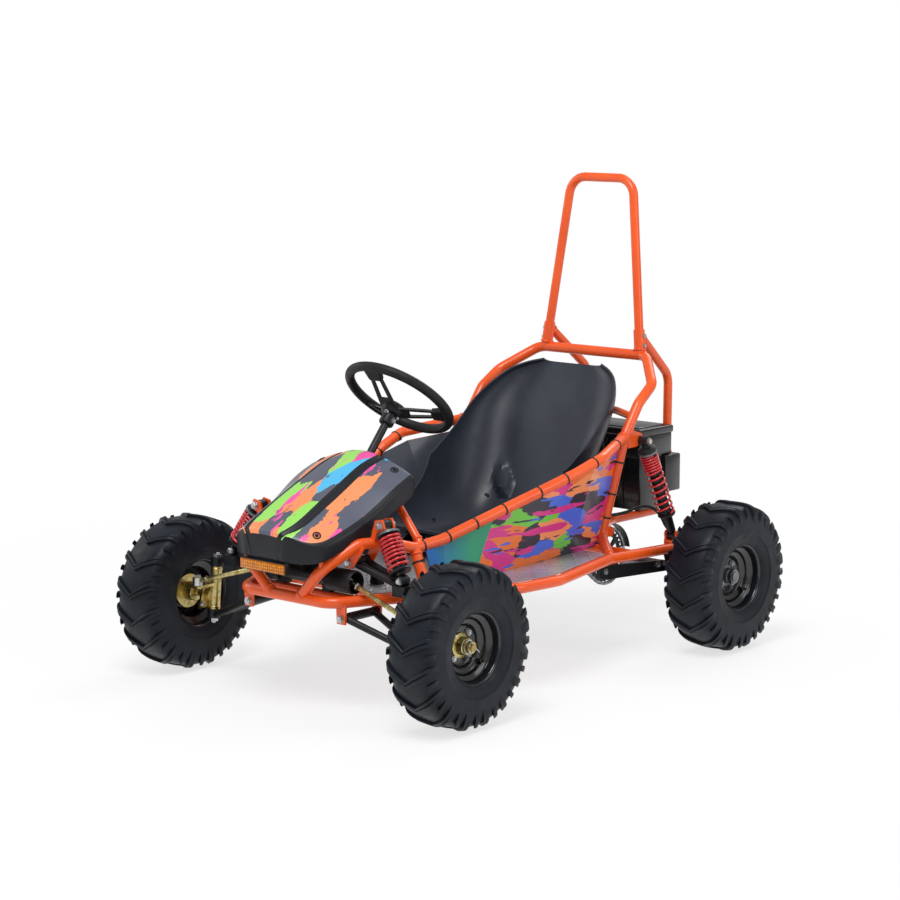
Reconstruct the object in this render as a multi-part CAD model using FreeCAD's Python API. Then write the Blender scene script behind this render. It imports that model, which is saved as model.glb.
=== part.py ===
import FreeCAD, Part
import os
from math import asin, atan2, cos, pi, radians, sin, sqrt, tan

# Small electric off-road buggy, in millimetres.
# The nose points to -Y and +Z is up. The origin is on the ground under the middle of the wheels.
# Every table below gives the left side, at +X. The right side is its mirror image.

# Stance
wheelbase = 960
front_track = 834
rear_track = 834
tyre_radius = 178
tyre_width = 122
wheel_z = tyre_radius
front_y = -wheelbase / 2
rear_y = wheelbase / 2
front_wheel_x = front_track / 2
rear_wheel_x = rear_track / 2

# Clearances
fit = 0.3
running = 0.1
stub_gap = 1.0

# Tube radii and bends
frame_r = 12.5
bar_r = 11
cross_r = 10
brace_r = 9
arm_r = 8
leg_drop = 4
frame_bend = 45
knee_bend = 28
bar_bend = 48
brace_bend = 30

# Lower rail, one bent tube in the ground plan
rail_z = 240
nose_reach = 92
nose_y = front_y - nose_reach
nose_half = 128
waist_half = 348
shoulder_half = waist_half - 13
shoulder_y = -183
waist_y = -60
tail_half = 283
tail_y = 210
arm_end_half = 296
arm_end_y = rear_y + 12
arm_end_z = wheel_z + 54

# Roll bar and hoop
hoop_knee = (205, tail_y + 65, rail_z + 36)
hoop_node = (244, tail_y + 101, 512)
hoop_top_half = 165
hoop_top_y = 498
hoop_top_z = 681
roll_foot_half = 146
roll_top_half = 94
roll_top_y = 531
roll_top_z = 1104
socket_wall = 2.5
socket_height = 62
socket_slack = 14
strut_y = front_y + 108
strut_top = (185, strut_y + 11, 337)
stay_half = 127
stay_y = 638

# Front suspension and steering
kingpin_half = 330
kingpin_top_y = front_y + 15
kingpin_top_z = wheel_z + 76
kingpin_foot_y = front_y + 3
kingpin_foot_z = wheel_z - 42
ball_r = 15
ball_height = 20
pin_r = 6
barrel_r = 13
lower_pivot_half = 141
lower_pivot_z = 204
upper_pivot_half = 125
upper_pivot_z = 318
lower_pivot_front_y = front_y - 66
lower_pivot_rear_y = front_y + 46
upper_pivot_front_y = front_y - 24
upper_pivot_rear_y = front_y + 36
sleeve_r = 10
tab_thickness = 5
steer_arm_y = front_y - 46
steer_arm_z = wheel_z + 40
rack_y = front_y - 28
rack_z = 278
rack_r = 8.5
rack_half = 132
rack_house_half = 95
rack_house_r = 17
boot_half = 136
boot_r = 20
boot_mouth_r = 15.8
tie_rod_r = 5.5
spindle_r = 8

# Steering column: a straight shaft from the pinion to the wheel's hub
wheel_hub_y = -231
wheel_hub_z = 606
column_r = 9
wheel_ring_r = 135
wheel_grip_r = 11

# Shock absorbers: top eye and bottom eye
eye_half = 12
eye_r = 11
cap_start = 17
front_cap_r = 26
rear_cap_r = 23
front_shock_share = 0.65
front_shock_rise = 17
front_shock_top = (190, front_y + 20, 403)
front_shock_foot = (
    upper_pivot_half + (kingpin_half - upper_pivot_half) * front_shock_share,
    front_y + 2,
    upper_pivot_z + (kingpin_top_z - upper_pivot_z) * front_shock_share + front_shock_rise,
)
rear_shock_top = (262, 365, 498)
rear_shock_foot = (278, rear_y - 17, wheel_z + 82)

# Seat, cowl and body
floor_thickness = 2
panel_thickness = 2.5
seat_thickness = 5
cowl_thickness = 3
seat_y = 80
seat_z = rail_z + 28
box_half = 155
box_front_y = 490
box_rear_y = 622
box_top_z = 500
tray_z = 288
tray_half = 140
tray_r = 10
control_half = 163
control_front_y = 585
control_rear_y = 651
control_z = 334
control_top_z = 426
lid_height = 20
lid_lip = 3

# Drive line
axle_r = 12.5
pinion_r = 17
chain_gap = 0.5
chain_depth = 6
chain_width = 8
guard_gap = 14
guard_width = 24
guard_wall = 2
motor_y = rear_y - 110
motor_z = wheel_z + 22
motor_r = 54
motor_right_x = -78
motor_left_x = 42
sprocket_x = 62
sprocket_r = 66
sprocket_thickness = 5
disc_x = -226
disc_r = 68
disc_thickness = 4
bearing_x = 285
bearing_r = 34

# Rim
rim_half = 50
rim_lip_r = 83
bead_r = 76
well_r = 62
rim_wall = 2.5
rim_bore_r = 24
rim_face = 2

# Tyre
lug_count = 16
lug_sweep = 36

V = FreeCAD.Vector
X_AXIS = V(1, 0, 0)
Y_AXIS = V(0, 1, 0)
Z_AXIS = V(0, 0, 1)


def mirror(shape):
    """The right-hand copy of a left-hand piece."""
    return shape.mirror(V(0, 0, 0), X_AXIS)


def both(*shapes):
    """Left-hand pieces with their right-hand copies."""
    return list(shapes) + [mirror(s) for s in shapes]


def across(points):
    """A left-hand path that carries on over to the right-hand side."""
    right = [(-x, y, z) for x, y, z in reversed(points)]
    return points + right


def rod(start, end, radius):
    start, end = V(*start), V(*end)
    return Part.makeCylinder(radius, start.distanceToPoint(end), start, end - start)


def ring(start, end, outer, inner):
    start, end = V(*start), V(*end)
    along = (end - start).normalize()
    hole = Part.makeCylinder(inner, start.distanceToPoint(end) + 2, start - along, along)
    return rod(start, end, outer).cut(hole)


def tube(points, radius, bends):
    """A round bar along straight runs joined by tangent arcs, with one bend radius or one a corner."""
    path = [V(*p) for p in points]
    if not isinstance(bends, list):
        bends = [bends] * (len(path) - 2)
    edges = []
    start = path[0]
    for before, corner, after, bend in zip(path, path[1:], path[2:], bends):
        into = (corner - before).normalize()
        out = (after - corner).normalize()
        turn = into.getAngle(out)
        trim = bend * tan(turn / 2)
        first = corner - into * trim
        last = corner + out * trim
        inwards = (out - into).normalize()
        middle = corner + inwards * (bend / cos(turn / 2) - bend)
        edges.append(Part.LineSegment(start, first).toShape())
        edges.append(Part.Arc(first, middle, last).toShape())
        start = last
    edges.append(Part.LineSegment(start, path[-1]).toShape())
    circle = Part.Wire(Part.Circle(path[0], path[1] - path[0], radius).toShape())
    return Part.Wire(edges).makePipe(Part.Face(circle))


def block(x0, x1, y0, y1, z0, z1):
    return Part.makeBox(x1 - x0, y1 - y0, z1 - z0, V(x0, y0, z0))


def plate(points, direction):
    """A flat polygon pushed along a direction."""
    corners = [V(*p) for p in points]
    return Part.Face(Part.makePolygon(corners + corners[:1])).extrude(V(*direction))


def turned(profile, centre):
    """A closed profile of (place along the axis, radius) turned about the X axis through centre."""
    corners = [V(a, 0, r) for a, r in profile]
    face = Part.Face(Part.makePolygon(corners + corners[:1]))
    shape = face.revolve(V(0, 0, 0), X_AXIS, 360)
    shape.translate(V(*centre))
    return shape


def fused(first, *rest):
    return first.multiFuse(list(rest)).removeSplitter() if rest else first


def coped(shape, *others):
    """A branch tube cut back to the tubes that it is welded to."""
    for other in others:
        shape = shape.cut(other)
    return max(shape.Solids, key=lambda solid: solid.Volume)


def between(a, b, share):
    return tuple(p + (q - p) * share for p, q in zip(a, b))


def step(start, towards, distance):
    """The point that lies a distance from start on the way to another point."""
    start, towards = V(*start), V(*towards)
    return tuple(start + (towards - start).normalize() * distance)


def rail_half(y):
    """Half width of the lower rail's centreline beside a place along Y."""
    corners = [(nose_half, nose_y), (shoulder_half, shoulder_y), (waist_half, waist_y), (tail_half, tail_y)]
    for (half_a, y_a), (half_b, y_b) in zip(corners, corners[1:]):
        if y <= y_b:
            return half_a + (half_b - half_a) * (y - y_a) / (y_b - y_a)
    return tail_half


def save(name, *shapes):
    solids = [solid for shape in shapes for solid in shape.Solids]
    shape = solids[0] if len(solids) == 1 else Part.makeCompound(solids)
    shape.exportStep("parts/" + name + ".step")
    return shape


def lower_frame():
    """The lower rail, its cross tubes and the arms that carry it back to the axle."""
    plan = [
        (nose_half, nose_y, rail_z),
        (shoulder_half, shoulder_y, rail_z),
        (waist_half, waist_y, rail_z),
        (tail_half, tail_y, rail_z),
        (arm_end_half, arm_end_y, arm_end_z),
    ]
    whole = tube(across(plan[::-1]), frame_r, frame_bend)
    wide = waist_half + 100
    behind = block(-wide, wide, tail_y, arm_end_y + 100, 0, rail_z * 2)
    rail = whole.cut(behind)
    arms = whole.common(behind).Solids
    return whole, rail, arms


def cross_members(whole):
    """Floor tubes from side to side, welded between the rails."""
    tubes = []
    for y in (rack_y, lower_pivot_rear_y, -270, waist_y, 150):
        reach = rail_half(y) - frame_r / 2
        tubes.append(coped(rod((-reach, y, rail_z), (reach, y, rail_z), cross_r), whole))
    return tubes


os.makedirs("parts", exist_ok=True)

# Frame
whole_rail, lower_rail, rear_arms = lower_frame()
save("lower_rail", lower_rail)
floor_tubes = cross_members(whole_rail)
save("cross_members", *floor_tubes)

hoop_foot = (tail_half, tail_y, rail_z)
hoop_path = [
    hoop_foot,
    hoop_knee,
    hoop_node,
    (243, 365, 585),
    (238, 425, 624),
    (hoop_top_half, hoop_top_y, hoop_top_z),
]
hoop_bends = [knee_bend] + [frame_bend] * (2 * len(hoop_path) - 4) + [knee_bend]
hoop = coped(tube(across(hoop_path), frame_r, hoop_bends), whole_rail)
roll_foot = (roll_foot_half, hoop_top_y, hoop_top_z)
roll_top = (roll_top_half, roll_top_y, roll_top_z)
socket_top = step(roll_foot, roll_top, socket_height)
roll_start = step(roll_foot, roll_top, frame_r + socket_slack)
socket_r = bar_r + fit + socket_wall
socket = rod(roll_foot, socket_top, socket_r).cut(hoop)
socket = coped(socket, rod(roll_start, roll_top, bar_r + fit))
save("main_hoop", fused(hoop, *both(socket)))
save("roll_bar", tube(across([roll_start, roll_top]), bar_r, bar_bend))

stay_foot_z = control_top_z + fit
stay_path = [
    step(roll_foot, roll_top, socket_height - bar_r),
    (stay_half, stay_y + 2, 617),
    (stay_half, stay_y, stay_foot_z),
]
stay = coped(tube(stay_path, bar_r, bar_bend), rod(roll_foot, socket_top, socket_r))
foot_pad = rod(stay_path[-1], (stay_half, stay_y, stay_foot_z + 4), bar_r + 1.5)
save("rear_stays", *both(fused(stay, foot_pad)))

rail_path = [
    (41, nose_y, rail_z),
    (112, front_y - 100, 310),
    (150, front_y - 20, 362),
    (175, front_y + 40, 360),
    strut_top,
    (203, front_y + 190, 348),
    (268, -49, 425),
    (300, 60, 462),
    (310, 140, 488),
    hoop_node,
]
upper_rail = coped(tube(rail_path, frame_r, frame_bend), whole_rail, hoop)
save("upper_rails", *both(upper_rail))

strut_foot = (rail_half(strut_y), strut_y, rail_z)
strut = coped(rod(strut_top, strut_foot, frame_r), whole_rail, upper_rail)
save("front_struts", *both(strut))

rear_cross_y = hoop_knee[1] + 2 * frame_r - 4
rear_cross_z = hoop_knee[2] + 8
rear_cross_half = hoop_knee[0] + 12
rear_cross = coped(rod((-rear_cross_half, rear_cross_y, rear_cross_z),
                       (rear_cross_half, rear_cross_y, rear_cross_z), frame_r), hoop)
tray_path = [
    between(hoop_knee, hoop_node, 0.1),
    (tray_half, 400, tray_z),
    (tray_half, control_front_y - 5, tray_z),
]
tray = coped(tube(tray_path, tray_r, brace_bend), hoop, rear_cross)
save("rear_cross_tube", rear_cross)
save("battery_tray", *both(tray))

# Rear swinging arms: the side tubes with two cross tubes and the bearing plates
arm_cross_share = 0.32
arm_cross_end = between((tail_half, tail_y, rail_z), (arm_end_half, arm_end_y, arm_end_z), arm_cross_share)
arm_cross = coped(rod((-arm_cross_end[0], *arm_cross_end[1:]), arm_cross_end, cross_r), *rear_arms)
clevis_x, clevis_y, clevis_z = rear_shock_foot
clevis_in = clevis_x - eye_half - fit - tab_thickness
clevis_out = clevis_x + eye_half + fit
clevis_foot_z = clevis_z - eye_r - 6
clevis = [block(clevis_in, clevis_out + tab_thickness, clevis_y - 14, clevis_y + 14, clevis_foot_z,
                clevis_foot_z + 5)]
for x in (clevis_in, clevis_out):
    clevis.append(plate([(x, clevis_y - 14, clevis_foot_z - 10), (x, clevis_y + 14, clevis_foot_z - 10),
                         (x, clevis_y + 10, clevis_z + 11), (x, clevis_y - 10, clevis_z + 11)],
                        (tab_thickness, 0, 0)))
rear_arm = fused(rear_arms[0], rear_arms[1], arm_cross, *both(*clevis))
save("rear_arm", rear_arm)

# Floor
plate_z = rail_z + cross_r
edge_gap = sqrt(frame_r ** 2 - cross_r ** 2) + fit + 3
front_floor_y = front_y + 2
floor_corners = [(front_floor_y, 4), (shoulder_y, 2), (waist_y, 0), (tail_y - 8, -2)]
floor_outline = [(rail_half(y) - edge_gap - gap, y, plate_z) for y, gap in floor_corners]
floor = plate([(x, y, z) for x, y, z in across(floor_outline)], (0, 0, floor_thickness))
floor = coped(floor, hoop, *both(strut), *both(tube(rail_path, frame_r + fit, frame_bend)))
save("floor_plate", floor)


def seat_section(spot, half, flat, depth, lean):
    """A bucket seat's U section. spot is (y, z) of its middle, lean is the angle of its depth."""
    up = V(0, sin(radians(lean)), cos(radians(lean)))
    middle = V(0, seat_y + spot[0], seat_z + spot[1])

    def at(x, d):
        return middle + V(x, 0, 0) + up * d
    wall = seat_thickness
    bulge = 0.72
    sag = 0.3
    inner_half = half - wall
    inner_flat = flat - wall * 0.3
    outer_mid = (flat + (half - flat) * bulge, depth * sag)
    inner_mid = (inner_flat + (inner_half - inner_flat) * bulge, wall + (depth - wall) * sag)
    edges = [
        Part.Arc(at(-half, depth), at(-outer_mid[0], outer_mid[1]), at(-flat, 0)),
        Part.LineSegment(at(-flat, 0), at(flat, 0)),
        Part.Arc(at(flat, 0), at(outer_mid[0], outer_mid[1]), at(half, depth)),
        Part.LineSegment(at(half, depth), at(inner_half, depth)),
        Part.Arc(at(inner_half, depth), at(inner_mid[0], inner_mid[1]), at(inner_flat, wall)),
        Part.LineSegment(at(inner_flat, wall), at(-inner_flat, wall)),
        Part.Arc(at(-inner_flat, wall), at(-inner_mid[0], inner_mid[1]), at(-inner_half, depth)),
        Part.LineSegment(at(-inner_half, depth), at(-half, depth)),
    ]
    return Part.Wire([edge.toShape() for edge in edges])


# Seat sections: middle (y, z) from the seat's lowest point, half width, flat half width, depth,
# lean of the depth from upright
seat_table = [
    ((-230, 54), 150, 110, 14, -30),
    ((-140, 20), 165, 110, 48, -14),
    ((0, 0), 190, 105, 110, -6),
    ((135, 22), 203, 100, 175, -28),
    ((220, 127), 205, 100, 140, -52),
    ((278, 252), 203, 100, 80, -62),
    ((328, 347), 160, 85, 36, -64),
    ((350, 387), 88, 50, 10, -64),
]
seat = Part.makeLoft([seat_section(*row) for row in seat_table], True, False)
save("seat", seat)

# Bracket: middle along Y, and its top above the seat's lowest point
seat_rails = []
for y, rise in ((seat_y - 140, 28), (seat_y + 70, 16)):
    seat_rails.append(block(80, 108, y - 30, y + 30, plate_z + floor_thickness, seat_z + rise))
save("seat_brackets", *[coped(s, seat) for s in both(*seat_rails)])

seat_bar_z = 558
seat_bar_path = [between(hoop_node, hoop_path[3], 0.6), (150, 398, seat_bar_z)]
seat_bar = coped(tube(across(seat_bar_path), brace_r, brace_bend), hoop, seat)
save("seat_bar", seat_bar)



def panel_strip(foot_a, foot_b, top_a, top_b):
    """A ruled strip of side panel between the floor and the upper rail, inside them both."""
    wires = []
    for foot, top in ((foot_a, top_a), (foot_b, top_b)):
        inner = [V(*foot), V(*top), V(*top) - V(panel_thickness, 0, 0), V(*foot) - V(panel_thickness, 0, 0)]
        wires.append(Part.makePolygon(inner + inner[:1]))
    return Part.makeLoft(wires, True, True)


# Side panel: foot x, foot y, top x, top y, top z
panel_table = [
    (232, front_y + 135, 205, front_y + 135, 330),
    (222, front_y + 190, 203, front_y + 190, 340),
    (226, -116, 248, -120, 395),
    (218, 60, 288, 50, 450),
    (212, 150, 290, 140, 470),
    (206, 255, 238, 300, 488),
]
panel_foot_z = plate_z + floor_thickness + fit
rows = [((fx, fy, panel_foot_z), (tx, ty, tz)) for fx, fy, tx, ty, tz in panel_table]
strips = [panel_strip(a[0], b[0], a[1], b[1]) for a, b in zip(rows, rows[1:])]
panel = fused(strips[0], *strips[1:])
thick_rail = tube(rail_path, frame_r + fit, frame_bend)
panel = coped(panel, thick_rail, hoop, strut, rear_cross)
save("side_panels", *both(panel))

# Nose cowl: sections across, from the front edge back.
# Columns: y from the front axle, groove half width, height in the middle, height at the groove, edge half width,
# edge height, skirt height
cowl_table = [
    (-160, 50, 394, 392, 58, 388, 330),
    (-122, 66, 412, 408, 131, 360, 324),
    (6, 60, 478, 472, 150, 407, 380),
    (80, 54, 514, 508, 158, 455, 415),
    (155, 50, 532, 526, 155, 488, 442),
]


def cowl_section(y, groove, mid_z, groove_z, edge, edge_z, skirt_z, inset):
    points = [
        (edge - inset, skirt_z),
        (edge - inset, edge_z - inset),
        (groove, groove_z - inset),
        (0, mid_z - inset),
    ]
    full = points + [(-x, z) for x, z in reversed(points[:-1])]
    return Part.makePolygon([V(x, front_y + y, z) for x, z in full + full[:1]])


def groove_cutter(side):
    """The square bar that sinks a groove along the cowl's top."""
    wires = []
    for y, groove, _, groove_z, *_ in cowl_table:
        corners = [(groove - 3, groove_z - 1), (groove + 4, groove_z - 2), (groove + 4, groove_z + 9),
                   (groove - 3, groove_z + 9)]
        wires.append(Part.makePolygon([V(side * x, front_y + y, z) for x, z in corners + corners[:1]]))
    return Part.makeLoft(wires, True, True)


cowl_outer = Part.makeLoft([cowl_section(*row, 0) for row in cowl_table], True, True)
cowl_inner = Part.makeLoft([cowl_section(*row, cowl_thickness) for row in cowl_table], True, True)
cowl_front_y = front_y + cowl_table[0][0]
cowl_room = cowl_inner.cut(block(-waist_half, waist_half, cowl_front_y - 1, cowl_front_y + cowl_thickness,
                                 0, roll_top_z))
cowl = cowl_outer.cut(cowl_room).cut(groove_cutter(1)).cut(groove_cutter(-1))
wheel_hub = V(0, wheel_hub_y, wheel_hub_z)
pinion_spot = V(0, rack_y, rack_z)
column_axis = (wheel_hub - pinion_spot).normalize()


def on_column(distance):
    """A point on the steering column, a distance below the wheel's hub."""
    return wheel_hub - column_axis * distance


column_slot = rod(on_column(60), on_column(400), column_r + 12)
cowl = coped(cowl, column_slot, *both(tube(rail_path, frame_r + 2, frame_bend)))
save("nose_cowl", cowl)
reflector = block(-70, 70, cowl_front_y - 4, cowl_front_y + 10, 302, 328)
save("front_reflector", coped(reflector, *both(tube(rail_path, frame_r + fit, frame_bend))))

# Battery, controller
tray_top = tray_z + tray_r
battery = fused(
    block(-box_half, box_half, box_front_y, control_front_y - fit, tray_top, box_top_z - lid_height),
    block(-box_half, box_half, box_front_y, box_rear_y, control_top_z + fit, box_top_z - lid_height),
)
save("battery_box", battery)
save("battery_lid", block(-box_half - lid_lip, box_half + lid_lip, box_front_y - lid_lip,
                          box_rear_y + lid_lip, box_top_z - lid_height, box_top_z))
save("control_box", block(-control_half, control_half, control_front_y, control_rear_y,
                          control_z, control_top_z))

# Front suspension
kingpin_top = (kingpin_half, kingpin_top_y, kingpin_top_z)
kingpin_foot = (kingpin_half, kingpin_foot_y, kingpin_foot_z)
pin_axis = (V(*kingpin_top) - V(*kingpin_foot)).normalize()


def along_pin(point, distance):
    return tuple(V(*point) + pin_axis * distance)


def wishbone(pivot_half, pivot_z, pivot_front, pivot_rear, joint, drop):
    """An A-shaped arm: a pivot sleeve along Y, two legs and the eye round the kingpin."""
    front = pivot_front + tab_thickness / 2 + fit
    rear = pivot_rear - tab_thickness / 2 - fit
    sleeve = rod((pivot_half, front, pivot_z), (pivot_half, rear, pivot_z), sleeve_r)
    eye = rod(along_pin(joint, -ball_height / 2), along_pin(joint, ball_height / 2), ball_r)
    leg_end = along_pin(joint, -drop)
    legs = [
        rod((pivot_half, front + arm_r, pivot_z), leg_end, arm_r),
        rod((pivot_half, rear - arm_r, pivot_z), leg_end, arm_r),
    ]
    body = fused(sleeve, eye, *legs)
    hole = rod(along_pin(joint, -ball_height * 2), along_pin(joint, ball_height * 2), pin_r + running)
    return coped(body, hole)


lower_arm = wishbone(lower_pivot_half, lower_pivot_z, lower_pivot_front_y, lower_pivot_rear_y,
                     kingpin_foot, leg_drop)
upper_arm = wishbone(upper_pivot_half, upper_pivot_z, upper_pivot_front_y, upper_pivot_rear_y,
                     kingpin_top, 0)
save("lower_arms", *both(lower_arm))


def shock(top, foot, eye_axis, body_r, cap_r, spring_start, spring_end, wire, coil_r, close_turns, open_turns):
    """A coil-over damper between two eyes, and its spring as a separate solid."""
    length = V(*top).distanceToPoint(V(*foot))

    def at(distance):
        return step(top, foot, distance)
    pieces = [
        rod(V(*top) - eye_axis * eye_half, V(*top) + eye_axis * eye_half, eye_r),
        rod(V(*foot) - eye_axis * eye_half, V(*foot) + eye_axis * eye_half, eye_r),
        rod(at(0), at(length), body_r * 0.62),
        rod(at(cap_start), at(spring_start - fit), cap_r),
        rod(at(spring_start), at(spring_end), body_r),
        rod(at(spring_end + fit), at(spring_end + 6), cap_r),
        rod(at(spring_end), at(length - eye_r), body_r * 0.8),
    ]
    body = fused(pieces[0], *pieces[1:])
    axis = (V(*foot) - V(*top)).normalize()
    side = axis.cross(Y_AXIS).normalize()
    other = axis.cross(side)
    turns = close_turns + open_turns
    steps_a_turn = 10
    start = V(*at(spring_start + wire))
    travel = spring_end - spring_start - 2 * wire
    close_travel = close_turns * wire * 2.15
    wires = []
    for i in range(int(turns * steps_a_turn) + 1):
        turn = i / steps_a_turn
        if turn <= close_turns:
            along = close_travel * turn / close_turns
        else:
            along = close_travel + (travel - close_travel) * (turn - close_turns) / open_turns
        angle = radians(360 * turn)
        out = side * cos(angle) + other * sin(angle)
        centre = start + axis * along + out * coil_r
        corners = [centre + out * wire, centre + axis * wire, centre - out * wire, centre - axis * wire]
        wires.append(Part.makePolygon(corners + corners[:1]))
    coil = Part.makeLoft(wires, True, True)
    return body, coil


front_damper, front_coil = shock(front_shock_top, front_shock_foot, Y_AXIS, 13, front_cap_r,
                                 25, 106, 3.0, 22, 1, 6)
rear_damper, rear_coil = shock(rear_shock_top, rear_shock_foot, X_AXIS, 13, rear_cap_r,
                               34, 196, 2.6, 19, 6, 6)
save("coil_springs", *both(front_coil, rear_coil))

# The spring perch on each upper arm
perch = block(front_shock_foot[0] - 18, front_shock_foot[0] + 18, front_shock_foot[1] - 16,
              front_shock_foot[1] + 16, front_shock_foot[2] - 34, front_shock_foot[2] - 11)
save("upper_arms", *both(fused(upper_arm, perch)))

save("dampers", *both(coped(front_damper, upper_arm, perch), coped(rear_damper, rear_arm)))


def tab(corners, y, thickness=tab_thickness):
    """A welded steel tab, square to Y."""
    return plate([(x, y - thickness / 2, z) for x, z in corners], (0, thickness, 0))


# Pivot tabs under the lower rail, over the upper arms, and the shock towers
tabs = [
    tab([(lower_pivot_half - 14, rail_z - 4), (lower_pivot_half + 14, rail_z - 4),
         (lower_pivot_half + 12, lower_pivot_z - 12), (lower_pivot_half - 12, lower_pivot_z - 12)], y)
    for y in (lower_pivot_front_y, lower_pivot_rear_y)
]
tabs += [
    tab([(upper_pivot_half - 12, upper_pivot_z - 12), (upper_pivot_half + 10, upper_pivot_z - 12),
         (172, 358), (140, 362)], y)
    for y in (upper_pivot_front_y, upper_pivot_rear_y)
]
tower_out = eye_half + fit + tab_thickness / 2
top_x, top_y, top_z = front_shock_top
tower = [(158, 356), (172, 364), (top_x - 9, top_z - 17), (top_x + 14, top_z - 6), (top_x + 6, top_z + 14),
         (top_x - 14, top_z + 10)]
for side_y in (-1, 1):
    tabs.append(tab(tower, top_y + side_y * tower_out))
top_x, top_y, top_z = rear_shock_top
tower_x = top_x - eye_half - fit - tab_thickness
rear_tower = [(318, top_z - 14), (324, top_z + 32), (top_y + 6, top_z + 16), (top_y + 13, top_z + 2),
              (top_y - 12, top_z - 13)]
tabs.append(plate([(tower_x, y, z) for y, z in rear_tower], (tab_thickness, 0, 0)))
shock_room = [
    rod(step(front_shock_top, front_shock_foot, cap_start - 2), front_shock_foot, front_cap_r + 2),
    rod(step(rear_shock_top, rear_shock_foot, cap_start - 2), rear_shock_foot, rear_cap_r + 2),
]
cut_tabs = [coped(s, whole_rail, upper_rail, hoop, *shock_room, *floor_tubes) for s in tabs]
save("frame_brackets", *both(*cut_tabs))

# Rack
rack_bar = rod((-rack_half, rack_y, rack_z), (rack_half, rack_y, rack_z), rack_r)
tie_end = (kingpin_half, steer_arm_y, steer_arm_z)
tie = rod((rack_half - 4, rack_y, rack_z), tie_end, tie_rod_r)
tie_joint = rod((kingpin_half, steer_arm_y, steer_arm_z - 9), (kingpin_half, steer_arm_y, steer_arm_z + 9), 11)
save("rack_bar", rack_bar)
save("tie_rods", *both(coped(fused(tie, tie_joint), rack_bar)))
housing = ring((-rack_house_half, rack_y, rack_z), (rack_house_half, rack_y, rack_z), rack_house_r, rack_r + 1)
saddles = [block(x - 12, x + 12, rack_y - 12, rack_y + 12, rail_z + cross_r, rack_z - rack_house_r + 4)
           for x in (-70, 70)]
pinion_boss = rod(tuple(pinion_spot), tuple(pinion_spot + column_axis * 46), 18)
housing = fused(housing, pinion_boss, *saddles)
housing = housing.cut(rod((-rack_half, rack_y, rack_z), (rack_half, rack_y, rack_z), rack_r + 1))
pinion_well = pinion_spot + column_axis * 24
housing = coped(housing, rod(tuple(pinion_well), tuple(pinion_well + column_axis * 60), column_r + 1), *floor_tubes)
save("rack_housing", housing)
boots = []
boot_ribs = 5
rib_pitch = (boot_half - rack_house_half) / boot_ribs
profile = [(rack_house_half, boot_r - 2.5)]
for i in range(boot_ribs):
    a = rack_house_half + i * rib_pitch
    profile += [(a + rib_pitch * 0.35, boot_r), (a + rib_pitch * 0.65, boot_r), (a + rib_pitch, boot_r - 2.5)]
profile += [(boot_half, boot_mouth_r), (rack_house_half, boot_mouth_r)]
boot = turned(profile, (0, rack_y, rack_z))
save("rack_boots", *both(boot))

# Steering column and wheel
column_foot = pinion_well + column_axis * stub_gap
save("steering_shaft", rod(tuple(column_foot), tuple(on_column(9)), column_r))
hub_disc = rod(tuple(on_column(8)), tuple(on_column(-18)), 24)
rim_centre = wheel_hub + column_axis * 38
grip = Part.makeTorus(wheel_ring_r - wheel_grip_r, wheel_grip_r, V(0, 0, 0), Z_AXIS)
spoke_up = column_axis.cross(X_AXIS)
grip.Placement = FreeCAD.Placement(rim_centre, FreeCAD.Rotation(Z_AXIS, column_axis))
spoke_foot = wheel_hub + column_axis * 4
spoke_reach = wheel_ring_r - wheel_grip_r * 1.6


def spoke(angle, first, last, width_in, width_out, half_thickness):
    """A flat bar on a spoke's line, between two shares of the way from the hub to the grip."""
    out = X_AXIS * cos(radians(angle)) + spoke_up * sin(radians(angle))
    side = column_axis.cross(out)
    foot = spoke_foot + out * 16
    tip = rim_centre + out * spoke_reach
    wires = []
    for share, width in ((first, width_in), (last, width_out)):
        middle = foot + (tip - foot) * share
        corners = [middle + side * (width * a) + column_axis * (half_thickness * b)
                   for a, b in ((1, -1), (-1, -1), (-1, 1), (1, 1))]
        wires.append(Part.makePolygon(corners + corners[:1]))
    return Part.makeLoft(wires, True, True)


spokes = []
for angle in (-90, 25, 155):
    bar = spoke(angle, 0, 1, 22, 17, 3).cut(spoke(angle, 0.2, 0.68, 13, 10, 12))
    pad = spoke(angle, 0.7, 1, 17, 24, 6)
    spokes.append(fused(bar, pad))
save("steering_wheel", fused(hub_disc, grip, *spokes))

# Column support: a hoop between the upper rails with a bearing ring round the column
bearing_spot = on_column(172)
below = column_axis.cross(X_AXIS).normalize()
below = below if below.z < 0 else below * -1
support_ring_r = column_r + 9
support_top = bearing_spot + below * (support_ring_r + brace_r - 3)
support_path = [(188, front_y + 135, 344), (70, support_top.y, support_top.z)]
support = tube(across(support_path), brace_r, brace_bend)
bearing = rod(tuple(bearing_spot - column_axis * 14), tuple(bearing_spot + column_axis * 14), support_ring_r)
support = fused(support, bearing)
support = support.cut(rod(tuple(on_column(100)), tuple(on_column(240)), column_r + fit))
support = coped(support, upper_rail, mirror(upper_rail))
save("column_support", support)

# Posts that carry the cowl's screws: on the upper rails in front, on the column support behind
def post(foot, *others):
    """An upright from a tube's middle up to the cowl's underside."""
    shape = rod(foot, (foot[0], foot[1], cowl_top_z), 5).cut(cowl)
    for other in others:
        shape = shape.cut(other)
    return min(shape.Solids, key=lambda solid: solid.BoundBox.ZMin)


cowl_top_z = max(row[2] for row in cowl_table)
front_post = post(between(rail_path[1], rail_path[2], 0.02), upper_rail)
rear_x, rear_post_y, rear_z = between(*support_path, 0.72)
rear_post = post((rear_x, rear_post_y - brace_r + 3, rear_z), support)
save("cowl_posts", *both(front_post, rear_post))


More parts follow.
